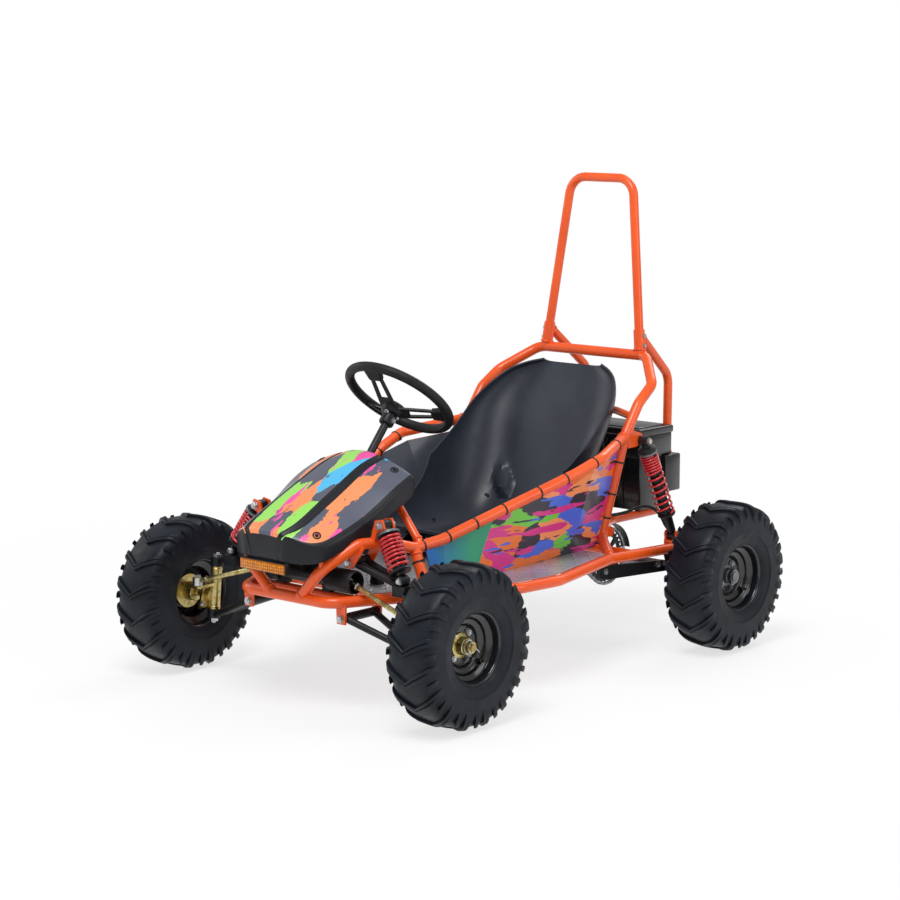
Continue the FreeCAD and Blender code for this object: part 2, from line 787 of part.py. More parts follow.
def knuckle():
    """Front knuckle: kingpin barrel and pins, flange, steering arm, spindle and castle nut."""
    half_eye = ball_height / 2
    barrel = rod(along_pin(kingpin_foot, half_eye + fit), along_pin(kingpin_top, -half_eye - fit), barrel_r)
    pin = rod(along_pin(kingpin_foot, -half_eye - 4), along_pin(kingpin_top, half_eye + 4), pin_r)
    flange_x = kingpin_half + barrel_r - 3
    flange = plate([(flange_x, front_y - 32, wheel_z - 28), (flange_x, front_y + 32, wheel_z - 24),
                    (flange_x, front_y + 20, wheel_z + 16), (flange_x, front_y - 2, wheel_z + 44),
                    (flange_x, front_y - 14, wheel_z + 42)], (6, 0, 0))
    neck = rod((kingpin_half, front_y, wheel_z), (flange_x + 6, front_y, wheel_z), 15)
    spindle = rod((flange_x, front_y, wheel_z), (front_wheel_x + 42, front_y, wheel_z), spindle_r)
    nut = rod((front_wheel_x + 26, front_y, wheel_z), (front_wheel_x + 37, front_y, wheel_z), 13)
    arm_z = steer_arm_z - 9 - fit
    arm = block(kingpin_half - 11, kingpin_half + 11, steer_arm_y - 12, kingpin_foot_y - 6, arm_z - 6, arm_z)
    return fused(barrel, pin, flange, neck, spindle, nut, arm)


left_knuckle = knuckle()
save("knuckle_left", left_knuckle)
save("knuckle_right", mirror(left_knuckle))


def rim(wheel_x, y):
    """Pressed steel rim, its disc stepped in from the outer lip."""
    w = rim_wall
    outer = [(-rim_half, rim_lip_r), (-rim_half + w, rim_lip_r), (-rim_half + w, bead_r), (-28, bead_r),
             (-22, well_r), (22, well_r), (28, bead_r), (rim_half - w, bead_r), (rim_half - w, rim_lip_r),
             (rim_half, rim_lip_r), (rim_half, bead_r - w), (30, bead_r - w), (24, well_r - w),
             (16, well_r - w), (14, 44), (rim_face, 40), (rim_face, rim_bore_r), (rim_face - w, rim_bore_r),
             (rim_face - w, 44), (12, 48),
             (11, well_r - w), (-24, well_r - w), (-30, bead_r - w), (-rim_half, bead_r - w)]
    return turned(outer, (wheel_x, y, wheel_z))


# Half of the tyre's section, from the bead to the middle.
# Columns: the casing's half width and height over the bead, then the same for a lug's top
tyre_table = [
    (44.5, 0, 44.5, 0),
    (57, 30, 57, 30),
    (59, 58, tyre_width / 2, 63),
    (54, 82, 57, 91),
    (32, 91, 34, 100.5),
    (0, 93.4, 0, tyre_radius - bead_r - fit),
]


def tyre(wheel_x, y):
    """Low-pressure tyre in flat facets. Its V lugs lead with their points and run over the shoulders."""
    rows = tyre_table + [(-a, b, -c, d) for a, b, c, d in reversed(tyre_table[:-1])]
    # One lug as shares of the pitch: the casing up to the wall, then the lug's top
    marks = ((0, False), (0.5, False), (0.58, True), (0.92, True))
    columns = lug_count * len(marks)
    bead = (bead_r + fit) / cos(pi * marks[1][0] / lug_count)
    rings = []
    for low_x, low, high_x, high in rows:
        corners = []
        for i in range(lug_count):
            for mark, raised in marks:
                x, rise = (high_x, high) if raised else (low_x, low)
                turn = 2 * pi * (i + mark - marks[2][0]) / lug_count
                turn += lug_sweep / tyre_radius * abs(x) / (tyre_width / 2)
                radius = min(bead + rise, tyre_radius)
                corners.append(V(wheel_x + x, y + radius * sin(turn), wheel_z + radius * cos(turn)))
        rings.append(corners)
    faces = []
    for a, b in zip(rings, rings[1:] + rings[:1]):
        for i in range(columns):
            j = (i + 1) % columns
            for corners in ((a[i], b[i], b[j], a[i]), (a[i], b[j], a[j], a[i])):
                faces.append(Part.Face(Part.makePolygon(list(corners))))
    return Part.makeSolid(Part.makeShell(faces))


front_tyre = tyre(front_wheel_x, front_y)
save("tyre_front_left", front_tyre)
save("tyre_front_right", mirror(front_tyre))
save("rear_tyres", *both(tyre(rear_wheel_x, rear_y)))
front_rim = rim(front_wheel_x, front_y)
rear_rim = rim(rear_wheel_x, rear_y)
save("rim_front_left", front_rim)
save("rim_front_right", mirror(front_rim))
save("rear_rims", *both(rear_rim))


def hub(wheel_x, y, bore, reach_in, reach_out):
    """A turned hub: the flange behind the rim's disc, the collar outside its bore, and the boss."""
    face = rim_face - rim_wall - fit
    collar = rim_bore_r - 2 * fit
    profile = [(-reach_in, bore), (-reach_in, 20), (face - 7, 22), (face - 7, 40), (face, 40), (face, collar),
               (rim_face + 5, collar), (rim_face + 5, 18), (reach_out, 16), (reach_out, bore)]
    return turned(profile, (wheel_x, y, wheel_z))


front_hub = hub(front_wheel_x, front_y, spindle_r + running, 34, 25)
save("hub_front_left", front_hub)
save("hub_front_right", mirror(front_hub))
rear_hub = hub(rear_wheel_x, rear_y, axle_r + running, 42, 20)
save("rear_hubs", *both(rear_hub))
axle_end = rear_wheel_x + 34
axle = rod((-axle_end, rear_y, wheel_z), (axle_end, rear_y, wheel_z), axle_r)
nuts = [rod((rear_wheel_x + 20 + fit, rear_y, wheel_z), (rear_wheel_x + 31, rear_y, wheel_z), 17)]
save("rear_axle", fused(axle, *both(*nuts)))

# Drive line
sprocket = ring((sprocket_x - sprocket_thickness / 2, rear_y, wheel_z),
                (sprocket_x + sprocket_thickness / 2, rear_y, wheel_z), sprocket_r, axle_r + running)
sprocket_hub = ring((sprocket_x - 20, rear_y, wheel_z), (sprocket_x + 20, rear_y, wheel_z), 24, axle_r + running)
save("sprocket", fused(sprocket, sprocket_hub))
disc = ring((disc_x - disc_thickness / 2, rear_y, wheel_z), (disc_x + disc_thickness / 2, rear_y, wheel_z),
            disc_r, axle_r + running)
disc_hub = ring((disc_x - 16, rear_y, wheel_z), (disc_x + 16, rear_y, wheel_z), 24, axle_r + running)
save("brake_disc", fused(disc, disc_hub))
motor = rod((motor_right_x, motor_y, motor_z), (motor_left_x, motor_y, motor_z), motor_r)
shaft = rod((motor_left_x, motor_y, motor_z), (sprocket_x + 8, motor_y, motor_z), 8)
motor_mount = block(motor_right_x + 15, motor_left_x - 15, arm_cross_end[1], motor_y,
                    motor_z + 24, motor_z + 40)
pinion = rod((sprocket_x - sprocket_thickness / 2, motor_y, motor_z),
             (sprocket_x + sprocket_thickness / 2, motor_y, motor_z), pinion_r)
save("motor", coped(fused(motor, shaft, pinion, motor_mount), rear_arm, *both(tray)))


def chain_run(gap, first, last):
    """Corners (y, z) round sprocket and pinion at a gap, from one angle to another over the top.

    The angles are in degrees from the line that leads from the pinion to the axle.
    """
    along_y, along_z = rear_y - motor_y, wheel_z - motor_z
    reach = sqrt(along_y ** 2 + along_z ** 2)
    heading = atan2(along_z, along_y)
    leave = 90 + asin((sprocket_r - pinion_r) / reach) * 180 / pi
    run = []
    for centre_y, centre_z, radius, begin, end in (
            (rear_y, wheel_z, sprocket_r, max(first, -leave), leave),
            (motor_y, motor_z, pinion_r, leave, min(last, 360 - leave))):
        steps = 10
        radius = (radius + gap) / cos(radians((end - begin) / steps / 2))
        for i in range(steps + 1):
            turn = heading + radians(begin + (end - begin) * i / steps)
            run.append((centre_y + radius * cos(turn), centre_z + radius * sin(turn)))
    return run


def chain_plate(run, x0, x1):
    return plate([(x0, y, z) for y, z in run], (x1 - x0, 0, 0))


chain_x0 = sprocket_x - chain_width / 2
chain_x1 = sprocket_x + chain_width / 2
chain = chain_plate(chain_run(chain_gap + chain_depth, -180, 360), chain_x0, chain_x1)
save("drive_chain", chain.cut(chain_plate(chain_run(chain_gap, -180, 360), chain_x0 - 1, chain_x1 + 1)))

# The guard over the chain's upper run, on a lug of the motor's end
guard_x0 = sprocket_x - guard_width / 2
guard_run = chain_run(guard_gap + guard_wall, 20, 200)
guard_run += chain_run(guard_gap, 20, 200)[::-1]
guard = chain_plate(guard_run, guard_x0, guard_x0 + guard_width)
guard_lug = block(motor_left_x, guard_x0 + 2, motor_y - 14, motor_y + 14,
                  motor_z + pinion_r + guard_gap - 2, motor_z + pinion_r + guard_gap + guard_wall)
save("chain_guard", fused(guard, guard_lug))
caliper = block(disc_x - 22, disc_x + 22, rear_y - disc_r - 12, rear_y - disc_r + 26, wheel_z, wheel_z + 50)
caliper_arm = block(-arm_end_half, disc_x - 16, rear_y - disc_r - 10, rear_y - disc_r + 14,
                    wheel_z + 40, wheel_z + 50)
disc_room = block(disc_x - disc_thickness, disc_x + disc_thickness, rear_y - disc_r - 5, rear_y,
                  0, 2 * wheel_z)
caliper = fused(caliper, caliper_arm).cut(disc_room)
bearing_ring = ring((bearing_x - 12, rear_y, wheel_z), (bearing_x + 12, rear_y, wheel_z), bearing_r, axle_r + running)
carrier_plate = plate([(bearing_x - 4, rear_y - 66, wheel_z + 56), (bearing_x - 4, rear_y + 6, wheel_z + 56),
                       (bearing_x - 4, rear_y + 30, wheel_z - 10), (bearing_x - 4, rear_y - 30, wheel_z - 26)],
                      (8, 0, 0))
# The lower link runs from under the rail back to each carrier
link_thickness = 9
link_x0 = bearing_x - 4 - link_thickness
link_y0, link_z0 = tail_y - 16, rail_z - 38
link = plate([(link_x0, link_y0, link_z0 - 10), (link_x0, rear_y - 30, wheel_z - 2),
              (link_x0, rear_y - 50, wheel_z + 26),
              (link_x0, tail_y - 6, rail_z - 16), (link_x0, tail_y - 12, rail_z),
              (link_x0, link_y0 - 24, rail_z), (link_x0, link_y0 - 20, link_z0 - 4)], (link_thickness, 0, 0))
carrier = fused(bearing_ring, carrier_plate, link)
carrier = carrier.cut(rod((0, rear_y, wheel_z), (rear_wheel_x, rear_y, wheel_z), axle_r + running))
carrier = coped(carrier, rear_arm, lower_rail)
save("axle_carriers", *both(carrier))
save("brake_caliper", coped(caliper, rear_arm, mirror(carrier)))
# The brake hose hangs between the hoop and the rear arm
hose_path = [
    between(hoop_knee, hoop_node, 0.2),
    (240, tail_y + 114, 330),
    (240, rear_y - 80, 334),
    (240, rear_y - 18, 310),
    (242, rear_y + 4, 268),
    (arm_end_half - 2, rear_y + 6, arm_end_z),
]
save("brake_hose", coped(tube(hose_path, 4, 14), hoop, rear_arm))
pedal_x = 105
pedal_pivot_y = front_y + 85
pedal_pivot_z = 268
pedal_top_y = front_y + 45
pedal_top_z = 350
pivot = rod((pedal_x - 15, pedal_pivot_y, pedal_pivot_z), (pedal_x + 15, pedal_pivot_y, pedal_pivot_z), 6)
lever = plate([(pedal_x - 4, pedal_pivot_y - 4, pedal_pivot_z - 2),
               (pedal_x - 4, pedal_pivot_y + 4, pedal_pivot_z - 2),
               (pedal_x - 4, pedal_top_y + 4, pedal_top_z), (pedal_x - 4, pedal_top_y - 4, pedal_top_z)], (8, 0, 0))
pad = block(pedal_x - 22, pedal_x + 22, pedal_top_y - 5, pedal_top_y + 5, pedal_top_z - 25, pedal_top_z + 45)
pedal_foot = block(pedal_x - 12, pedal_x + 12, pedal_pivot_y - 10, pedal_pivot_y + 10,
                   plate_z + floor_thickness, pedal_pivot_z - 4)
save("pedals", *both(fused(pivot, lever, pad, pedal_foot)))
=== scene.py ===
"""Looks of a small electric off-road buggy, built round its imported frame.

Sizes in the tables are millimetres, and finished() turns a piece to metres. The nose points to -Y, and +X is the
buggy's left.
"""

from math import asin, atan2, cos, degrees, hypot, pi, radians, sin

import bmesh
import bpy
from mathutils import Matrix, Vector, noise


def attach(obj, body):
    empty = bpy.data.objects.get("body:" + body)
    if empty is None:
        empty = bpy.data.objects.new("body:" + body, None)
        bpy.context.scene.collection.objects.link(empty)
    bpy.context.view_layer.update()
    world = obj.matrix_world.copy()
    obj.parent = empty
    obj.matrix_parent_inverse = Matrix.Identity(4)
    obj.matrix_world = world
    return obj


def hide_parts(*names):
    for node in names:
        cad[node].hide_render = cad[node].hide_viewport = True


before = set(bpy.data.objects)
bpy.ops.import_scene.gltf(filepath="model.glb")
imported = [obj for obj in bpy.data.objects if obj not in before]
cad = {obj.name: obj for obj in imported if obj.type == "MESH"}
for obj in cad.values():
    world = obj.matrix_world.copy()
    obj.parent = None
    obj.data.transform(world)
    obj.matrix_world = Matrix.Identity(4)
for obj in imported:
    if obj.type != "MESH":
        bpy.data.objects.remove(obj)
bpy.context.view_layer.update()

MM = 0.001
X, Y, Z = Vector((1, 0, 0)), Vector((0, 1, 0)), Vector((0, 0, 1))

# Places that the frame sets
wheel_x, front_y, rear_y, wheel_z = 417, -480, 480, 178
tyre_r = 178
frame_r, bar_r, brace_r, cross_r = 12.5, 11, 9, 10
rail_z = 240
wheel_hub = Vector((0, -231, 606))
rack = Vector((0, -508, 278))
column = (wheel_hub - rack).normalized()
hoop_knee = Vector((205, 275, 276))
hoop_node = Vector((244, 311, 512))
roll_foot = Vector((146, 498, 681))
roll_top = Vector((94, 531, 1104))
strut_top = Vector((185, -361, 337))
kingpin_top = Vector((330, -465, 254))
kingpin_foot = Vector((330, -477, 136))
front_shock = (Vector((190, -460, 403)), Vector((258, -478, 293)))
rear_shock = (Vector((262, 365, 498)), Vector((278, 463, 260)))
motor_y, motor_z = 370, 200
tail = Vector((283, 210, 240))
strut_foot = Vector((234.4, -372, 240))
rail_path = [Vector(p) for p in (
    (41, -572, 240), (112, -580, 310), (150, -500, 362), (175, -440, 360), (185, -361, 337), (203, -290, 348),
    (268, -49, 425), (300, 60, 462), (310, 140, 488), (244, 311, 512))]


# Building pieces in millimetres


def added(bm, before):
    """The vertices that were made since before was noted."""
    return [vert for vert in bm.verts if vert not in before]


def moved(bm, before, matrix):
    """Moves what was made since before was noted."""
    bmesh.ops.transform(bm, matrix=matrix, verts=added(bm, before))


def edges_of(verts):
    return list({edge for vert in verts for edge in vert.link_edges})


def sheet(bm, columns, rows):
    """A flat grid's corners, row by row, each row from -X to +X."""
    made = bmesh.ops.create_grid(bm, x_segments=columns - 1, y_segments=rows - 1, size=1)["verts"]
    return sorted(made, key=lambda v: (round(v.co.y, 4), round(v.co.x, 4)))


def upwards(bm, rank):
    """Turns a sheet's faces so that the one of lowest rank looks up."""
    bmesh.ops.recalc_face_normals(bm, faces=bm.faces[:])
    if min(bm.faces, key=rank).normal.z < 0:
        bmesh.ops.reverse_faces(bm, faces=bm.faces[:])


def around(centre, radius, count, first):
    """Places spread evenly on a circle about X, from the angle first."""
    turns = [radians(first + 360 / count * i) for i in range(count)]
    return [Vector(centre) + Vector((0, cos(turn), sin(turn))) * radius for turn in turns]


def placed(start, along, roll=0):
    """Turns the Z axis to a direction and moves the origin to start."""
    turn = Z.rotation_difference(Vector(along)).to_matrix().to_4x4()
    return Matrix.Translation(start) @ turn @ Matrix.Rotation(radians(roll), 4, "Z")


def outwards(bm, verts):
    """Turns the faces of these vertices outwards."""
    faces = list({face for vert in verts for face in vert.link_faces})
    bmesh.ops.recalc_face_normals(bm, faces=faces)


def turned(bm, profile, start=(0, 0, 0), along=Z, steps=32, flat=False):
    """Turns a profile of (place along the axis, radius) about that axis; off the axis it is closed, unless flat."""
    before = set(bm.verts)
    line = [bm.verts.new((radius, 0, place)) for place, radius in profile]
    edges = [bm.edges.new(pair) for pair in zip(line, line[1:])]
    if profile[0][1] and not flat:
        edges.append(bm.edges.new((line[-1], line[0])))
    bmesh.ops.spin(bm, geom=line + edges, cent=(0, 0, 0), axis=Z, dvec=(0, 0, 0), angle=2 * pi, steps=steps,
                   use_merge=True, use_duplicate=False)
    bmesh.ops.remove_doubles(bm, verts=added(bm, before), dist=0.001)
    made = added(bm, before)
    outwards(bm, made)
    bmesh.ops.transform(bm, matrix=placed(start, along), verts=made)
    return made


def rod(bm, start, end, radius, steps=20, edge=0.8):
    """A round bar with softened ends."""
    start, end = Vector(start), Vector(end)
    length, inner = (end - start).length, radius - edge
    profile = [(0, 0), (0, inner), (edge, radius), (length - edge, radius), (length, inner), (length, 0)]
    turned(bm, profile, start, end - start, steps)


def ring(bm, centre, along, radius, thickness, steps=40, sides=12, width=1.0):
    """A round ring, or a band where width stretches its section along the axis."""
    section = [(thickness * width * sin(2 * pi * i / sides), radius + thickness * cos(2 * pi * i / sides))
               for i in range(sides)]
    return turned(bm, section, centre, along, steps)


def block(bm, low, high, edge=1.5, segments=2, where=Matrix()):
    """A box between two corners, with rounded edges, moved to where it belongs."""
    before = set(bm.verts)
    low, high = Vector(low), Vector(high)
    shape = Matrix.Translation((low + high) / 2) @ Matrix.Diagonal((*(high - low), 1))
    made = bmesh.ops.create_cube(bm, size=1, matrix=shape)["verts"]
    bmesh.ops.bevel(bm, geom=edges_of(made), offset=edge, offset_type="OFFSET", segments=segments, profile=0.5,
                    affect="EDGES", clamp_overlap=True, material=-1)
    moved(bm, before, where)


def hexagon(bm, place, along, across, height):
    """A hexagon head or nut, its outer corners turned down."""
    before = set(bm.verts)
    radius = across / 2 / cos(pi / 6)
    made = bmesh.ops.create_cone(bm, cap_ends=True, cap_tris=False, segments=6, radius1=radius, radius2=radius,
                                 depth=height, matrix=Matrix.Translation((0, 0, height / 2)))["verts"]
    top = [edge for edge in edges_of(made) if all(v.co.z > height * 0.9 for v in edge.verts)]
    bmesh.ops.bevel(bm, geom=top, offset=across * 0.06, offset_type="OFFSET", segments=1, profile=0.5,
                    affect="EDGES", clamp_overlap=True, material=-1)
    moved(bm, before, placed(place, along, roll=17))


def bolt(bm, place, along, size=8, stand=0):
    """A hexagon bolt head on its washer, and the end of its thread where it stands out."""
    place, along = Vector(place), Vector(along).normalized()
    turned(bm, [(0, 0), (0, size * 1.05), (size * 0.18, size * 1.05), (size * 0.18, 0)], place, along, 20)
    hexagon(bm, place + along * size * 0.18, along, size * 1.62, size * 0.62)
    if stand:
        rod(bm, place, place + along * (size * 0.8 + stand), size / 2, 12, 0.6)


def button(bm, place, along, size=5):
    """A domed screw head with a socket."""
    profile = [(0, 0), (0, size), (size * 0.25, size * 0.96), (size * 0.5, size * 0.72), (size * 0.6, size * 0.5),
               (size * 0.2, size * 0.46), (size * 0.2, 0)]
    turned(bm, profile, place, along, 20)


def mirrored(bm):
    """Adds the right-hand copy of all that the mesh holds."""
    geom = bm.verts[:] + bm.edges[:] + bm.faces[:]
    copy = bmesh.ops.duplicate(bm, geom=geom)["geom"]
    verts = [g for g in copy if isinstance(g, bmesh.types.BMVert)]
    bmesh.ops.scale(bm, vec=(-1, 1, 1), verts=verts)
    bmesh.ops.reverse_faces(bm, faces=[g for g in copy if isinstance(g, bmesh.types.BMFace)])


def eased(points, steps):
    """More points on a smooth line through a table of numbers."""
    points = [Vector(p) for p in points]
    ends = [points[0] * 2 - points[1]] + points + [points[-1] * 2 - points[-2]]
    line = []
    for a, b, c, d in zip(ends, ends[1:], ends[2:], ends[3:]):
        for i in range(steps):
            t = i / steps
            line.append((b * 2 + (c - a) * t + (a * 2 - b * 5 + c * 4 - d) * t * t
                         + (b * 3 - a - c * 3 + d) * t * t * t) / 2)
    return line + [points[-1]]


def shown(name, data):
    """A new object in the scene."""
    made = bpy.data.objects.new(name, data)
    bpy.context.scene.collection.objects.link(made)
    return made


def finished(name, bm, *materials, body="chassis", replaces=(), slot=None, sharp=38, bevel=0, subdivide=0, wall=0):
    """Makes the object from its mesh, in metres, and lets it ride on its body."""
    bmesh.ops.scale(bm, vec=(MM, MM, MM), verts=bm.verts)
    mesh = bpy.data.meshes.new(name)
    bm.to_mesh(mesh)
    bm.free()
    mesh.shade_smooth()
    mesh.set_sharp_from_angle(angle=radians(sharp))
    piece = shown(name, mesh)
    for material in materials:
        mesh.materials.append(material)
    if wall:
        shell = piece.modifiers.new("wall", "SOLIDIFY")
        shell.thickness, shell.offset = wall * MM, -1
    if bevel:
        edge = piece.modifiers.new("edges", "BEVEL")
        edge.width, edge.segments, edge.limit_method = bevel * MM, 2, "ANGLE"
    if subdivide:
        smooth = piece.modifiers.new("smooth", "SUBSURF")
        smooth.levels = smooth.render_levels = subdivide
    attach(piece, body)
    if replaces:
        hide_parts(*replaces)
    slot = slot or finish_slots[materials[0]]


# Finishes


def shade(red, green, blue):
    """A colour as seen on a screen, 0 to 255, as the shader wants it."""
    parts = []
    for value in (red, green, blue):
        value /= 255
        parts.append(value / 12.92 if value <= 0.04045 else ((value + 0.055) / 1.055) ** 2.4)
    return (*parts, 1)


def node(material, kind, inputs=None, **settings):
    """Adds a node; an input takes a value or another node's output."""
    made = material.node_tree.nodes.new("ShaderNode" + kind)
    for key, value in settings.items():
        setattr(made, key, value)
    for key, value in (inputs or {}).items():
        if isinstance(value, bpy.types.NodeSocket):
            material.node_tree.links.new(value, made.inputs[key])
        else:
            made.inputs[key].default_value = value
    return made


def spot(material, scale=(1, 1, 1), turn=(0, 0, 0), move=(0, 0, 0)):
    """The place on the piece, turned and stretched."""
    here = node(material, "TexCoord").outputs["Object"]
    return node(material, "Mapping", {"Vector": here, "Scale": scale, "Location": move,
                                      "Rotation": [radians(a) for a in turn]}).outputs["Vector"]


def cloud(material, scale, detail=3, where=None, rough=0.55):
    return node(material, "TexNoise", {"Vector": where or spot(material), "Scale": scale, "Detail": detail,
                                       "Roughness": rough}).outputs["Fac"]


def ramp(material, value, *stops, step=False):
    """Colours along a value: stops are (place, colour)."""
    made = node(material, "ValToRGB", {"Fac": value})
    band = made.color_ramp
    band.interpolation = "CONSTANT" if step else "LINEAR"
    while len(band.elements) < len(stops):
        band.elements.new(0.5)
    for element, (place, colour) in zip(band.elements, stops):
        element.position, element.color = place, colour
    return made.outputs["Color"]


def between(material, value, low, high, start=0.3, end=0.7):
    return node(material, "MapRange", {"Value": value, "From Min": start, "From Max": end,
                                       "To Min": low, "To Max": high}).outputs["Result"]


def mix(material, share, one, two):
    return node(material, "Mix", {0: share, 6: one, 7: two}, data_type="RGBA").outputs[2]


def maths(material, operation, one, two):
    return node(material, "Math", {0: one, 1: two}, operation=operation).outputs[0]


def bumped(material, height, strength, depth):
    return node(material, "Bump", {"Height": height, "Strength": strength, "Distance": depth * MM}).outputs["Normal"]


def shader_of(material):
    return material.node_tree.nodes["Principled BSDF"]


def recolour(material, colour):
    """Puts another colour pattern on a finish."""
    material.node_tree.links.new(colour, shader_of(material).inputs["Base Color"])


def finish(name, colour, dark, rough, patch, grain, depth=0.15, metallic=0.0, coat=0.0, shine=0.5):
    """A surface whose colour and gloss drift a little in patches, with a fine grain of some depth.

    Colours are as seen on a screen, rough is the least and most roughness, patch and grain are how often they
    come in a metre, and shine is the mirror strength.
    """
    material = bpy.data.materials.new(name)
    material.use_nodes = True
    shader = shader_of(material)
    shader.inputs["Metallic"].default_value = metallic
    shader.inputs["Coat Weight"].default_value = coat
    shader.inputs["Coat Roughness"].default_value = 0.08
    shader.inputs["Specular IOR Level"].default_value = shine
    link = material.node_tree.links.new
    recolour(material, ramp(material, cloud(material, patch), (0.35, shade(*colour)), (0.72, shade(*dark))))
    link(between(material, cloud(material, patch * 3), *rough), shader.inputs["Roughness"])
    link(bumped(material, cloud(material, grain, 2), 0.6, depth), shader.inputs["Normal"])
    return material


orange_paint = finish("orange powder coat", (242, 92, 24), (230, 80, 18), (0.26, 0.38), 9, 260, 0.2, coat=0.15)
satin_black = finish("satin black paint", (25, 27, 31), (17, 18, 21), (0.34, 0.5), 20, 420, shine=0.32)
gloss_black = finish("gloss black paint", (15, 16, 19), (9, 10, 12), (0.18, 0.3), 12, 300, 0.12, coat=0.5)
red_paint = finish("red spring paint", (216, 38, 46), (176, 22, 32), (0.22, 0.34), 40, 300, coat=0.4)
bright_steel = finish("bright zinc steel", (205, 206, 208), (168, 170, 174), (0.2, 0.36), 60, 900, 0.08, metallic=1.0)
dull_steel = finish("turned steel", (150, 151, 154), (112, 113, 117), (0.3, 0.45), 30, 700, metallic=1.0)
yellow_zinc = finish("yellow zinc plate", (206, 186, 120), (150, 130, 78), (0.24, 0.42), 45, 600, metallic=1.0)
recolour(yellow_zinc, ramp(yellow_zinc, cloud(yellow_zinc, 55, 4), (0.32, shade(196, 172, 96)),
                           (0.47, shade(214, 196, 140)), (0.58, shade(168, 158, 96)), (0.72, shade(176, 128, 92))))
tyre_rubber = finish("tyre rubber", (28, 33, 41), (16, 20, 26), (0.34, 0.5), 16, 700, 0.3, shine=0.2)
soft_rubber = finish("moulded rubber", (26, 27, 30), (17, 18, 20), (0.46, 0.62), 30, 900, shine=0.3)
seat_plastic = finish("seat plastic", (45, 51, 62), (32, 37, 46), (0.3, 0.42), 8, 1500, 0.2, shine=0.36)
cowl_plastic = finish("cowl plastic", (28, 30, 36), (20, 22, 26), (0.34, 0.46), 10, 1200, 0.12, shine=0.32)
tie_nylon = finish("cable tie nylon", (22, 22, 24), (15, 15, 17), (0.35, 0.5), 60, 900)
motor_black = finish("motor enamel", (28, 29, 32), (20, 21, 24), (0.32, 0.46), 18, 350)
case_black = finish("case enamel", (17, 18, 21), (10, 11, 13), (0.2, 0.34), 7, 240, 0.3, coat=0.3)
cast_grey = finish("cast alloy", (140, 142, 146), (104, 106, 110), (0.4, 0.55), 25, 380, 0.4, metallic=0.9)

# Aluminium tread plate: short raised bars, each row turned the other way
tread_plate = finish("aluminium tread plate", (214, 215, 220), (182, 184, 190), (0.34, 0.5), 6, 500, metallic=0.75)
heights = []
for turn, shift in ((45, 0.0), (-45, 0.5)):
    here = spot(tread_plate, (27, 27, 0), (0, 0, turn), (shift, shift, 0))
    cell = node(tread_plate, "TexVoronoi", {"Vector": here, "Scale": 1.0, "Randomness": 0.0}, feature="F1",
                distance="CHEBYCHEV")
    away = node(tread_plate, "VectorMath", {0: here, 1: cell.outputs["Position"]}, operation="SUBTRACT")
    bar = node(tread_plate, "VectorMath", {0: away.outputs[0], 1: (2.4, 8.0, 0)}, operation="MULTIPLY")
    reach = node(tread_plate, "VectorMath", {0: bar.outputs[0]}, operation="LENGTH").outputs["Value"]
    heights.append(between(tread_plate, reach, 1.0, 0.0, 0.55, 1.0))
raised = maths(tread_plate, "MAXIMUM", *heights)
tread_plate.node_tree.links.new(bumped(tread_plate, raised, 1.0, 1.4), shader_of(tread_plate).inputs["Normal"])

# Amber reflector: rows of prisms behind a smooth face, each prism painted with a yellow highlight at its middle and
# painted shade towards its edges
amber = finish("amber reflector", (214, 120, 8), (170, 84, 2), (0.12, 0.2), 60, 200, coat=0.3, shine=0.3)
prism_highlight = node(amber, "TexVoronoi", {"Vector": spot(amber), "Scale": 150.0, "Randomness": 0.25}, feature="F1")
# Painted highlight: bright yellow where a cell's middle is near, deep amber towards its edges
recolour(amber, ramp(amber, prism_highlight.outputs["Distance"], (0.06, shade(250, 190, 30)), (0.3, shade(206, 116, 6)),
                     (0.75, shade(150, 74, 0))))

# Sticker colours
lime, sky, peach = shade(152, 222, 96), shade(78, 184, 232), shade(246, 146, 92)
pink, slate, violet = shade(236, 84, 164), shade(84, 88, 104), shade(70, 104, 216)
deep_orange, magenta, night = shade(236, 116, 44), shade(216, 44, 136), shade(40, 38, 52)
leaf = shade(110, 200, 60)
shard_tear = (0.022, 0.022, 0.022)


def shards(material, where, scale, *stops):
    """Angular patches of flat colour: cells of a stretched, slightly torn mosaic."""
    tear = node(material, "TexNoise", {"Vector": where, "Scale": scale * 1.6, "Detail": 4.0, "Roughness": 0.7})
    torn = node(material, "VectorMath", {0: tear.outputs["Color"], 1: shard_tear}, operation="MULTIPLY")
    shifted = node(material, "VectorMath", {0: where, 1: torn.outputs[0]}, operation="ADD")
    cell = node(material, "TexVoronoi", {"Vector": shifted.outputs[0], "Scale": scale, "Randomness": 1.0},
                feature="F1", distance="EUCLIDEAN")
    pick = node(material, "SeparateColor", {"Color": cell.outputs["Color"]}).outputs["Red"]
    return ramp(material, pick, *stops, step=True)


def strokes(material, limit, scale, detail, rough, *place):
    """1 where a stretched cloud is over a limit, otherwise 0; place is what spot() takes."""
    return maths(material, "GREATER_THAN", cloud(material, scale, detail, spot(material, *place), rough), limit)


cowl_sticker = finish("cowl sticker", (84, 88, 104), (84, 88, 104), (0.3, 0.4), 10, 1200, 0.08, coat=0.15)
patches = shards(cowl_sticker, spot(cowl_sticker, (1.0, 0.42, 0.0), (0, 0, 28)), 20.0, (0.0, slate), (0.34, peach),
                 (0.52, lime), (0.68, sky), (0.84, pink), (0.91, slate))
dashes = strokes(cowl_sticker, 0.62, 30, 4, 0.6, (1, 0.24, 0), (0, 0, 28), (3, 1, 0))
flecks = strokes(cowl_sticker, 0.64, 48, 5, 0.8, (1, 0.3, 0), (0, 0, -35))
patches = mix(cowl_sticker, dashes, patches, pink)
recolour(cowl_sticker, mix(cowl_sticker, flecks, patches, shade(58, 58, 68)))

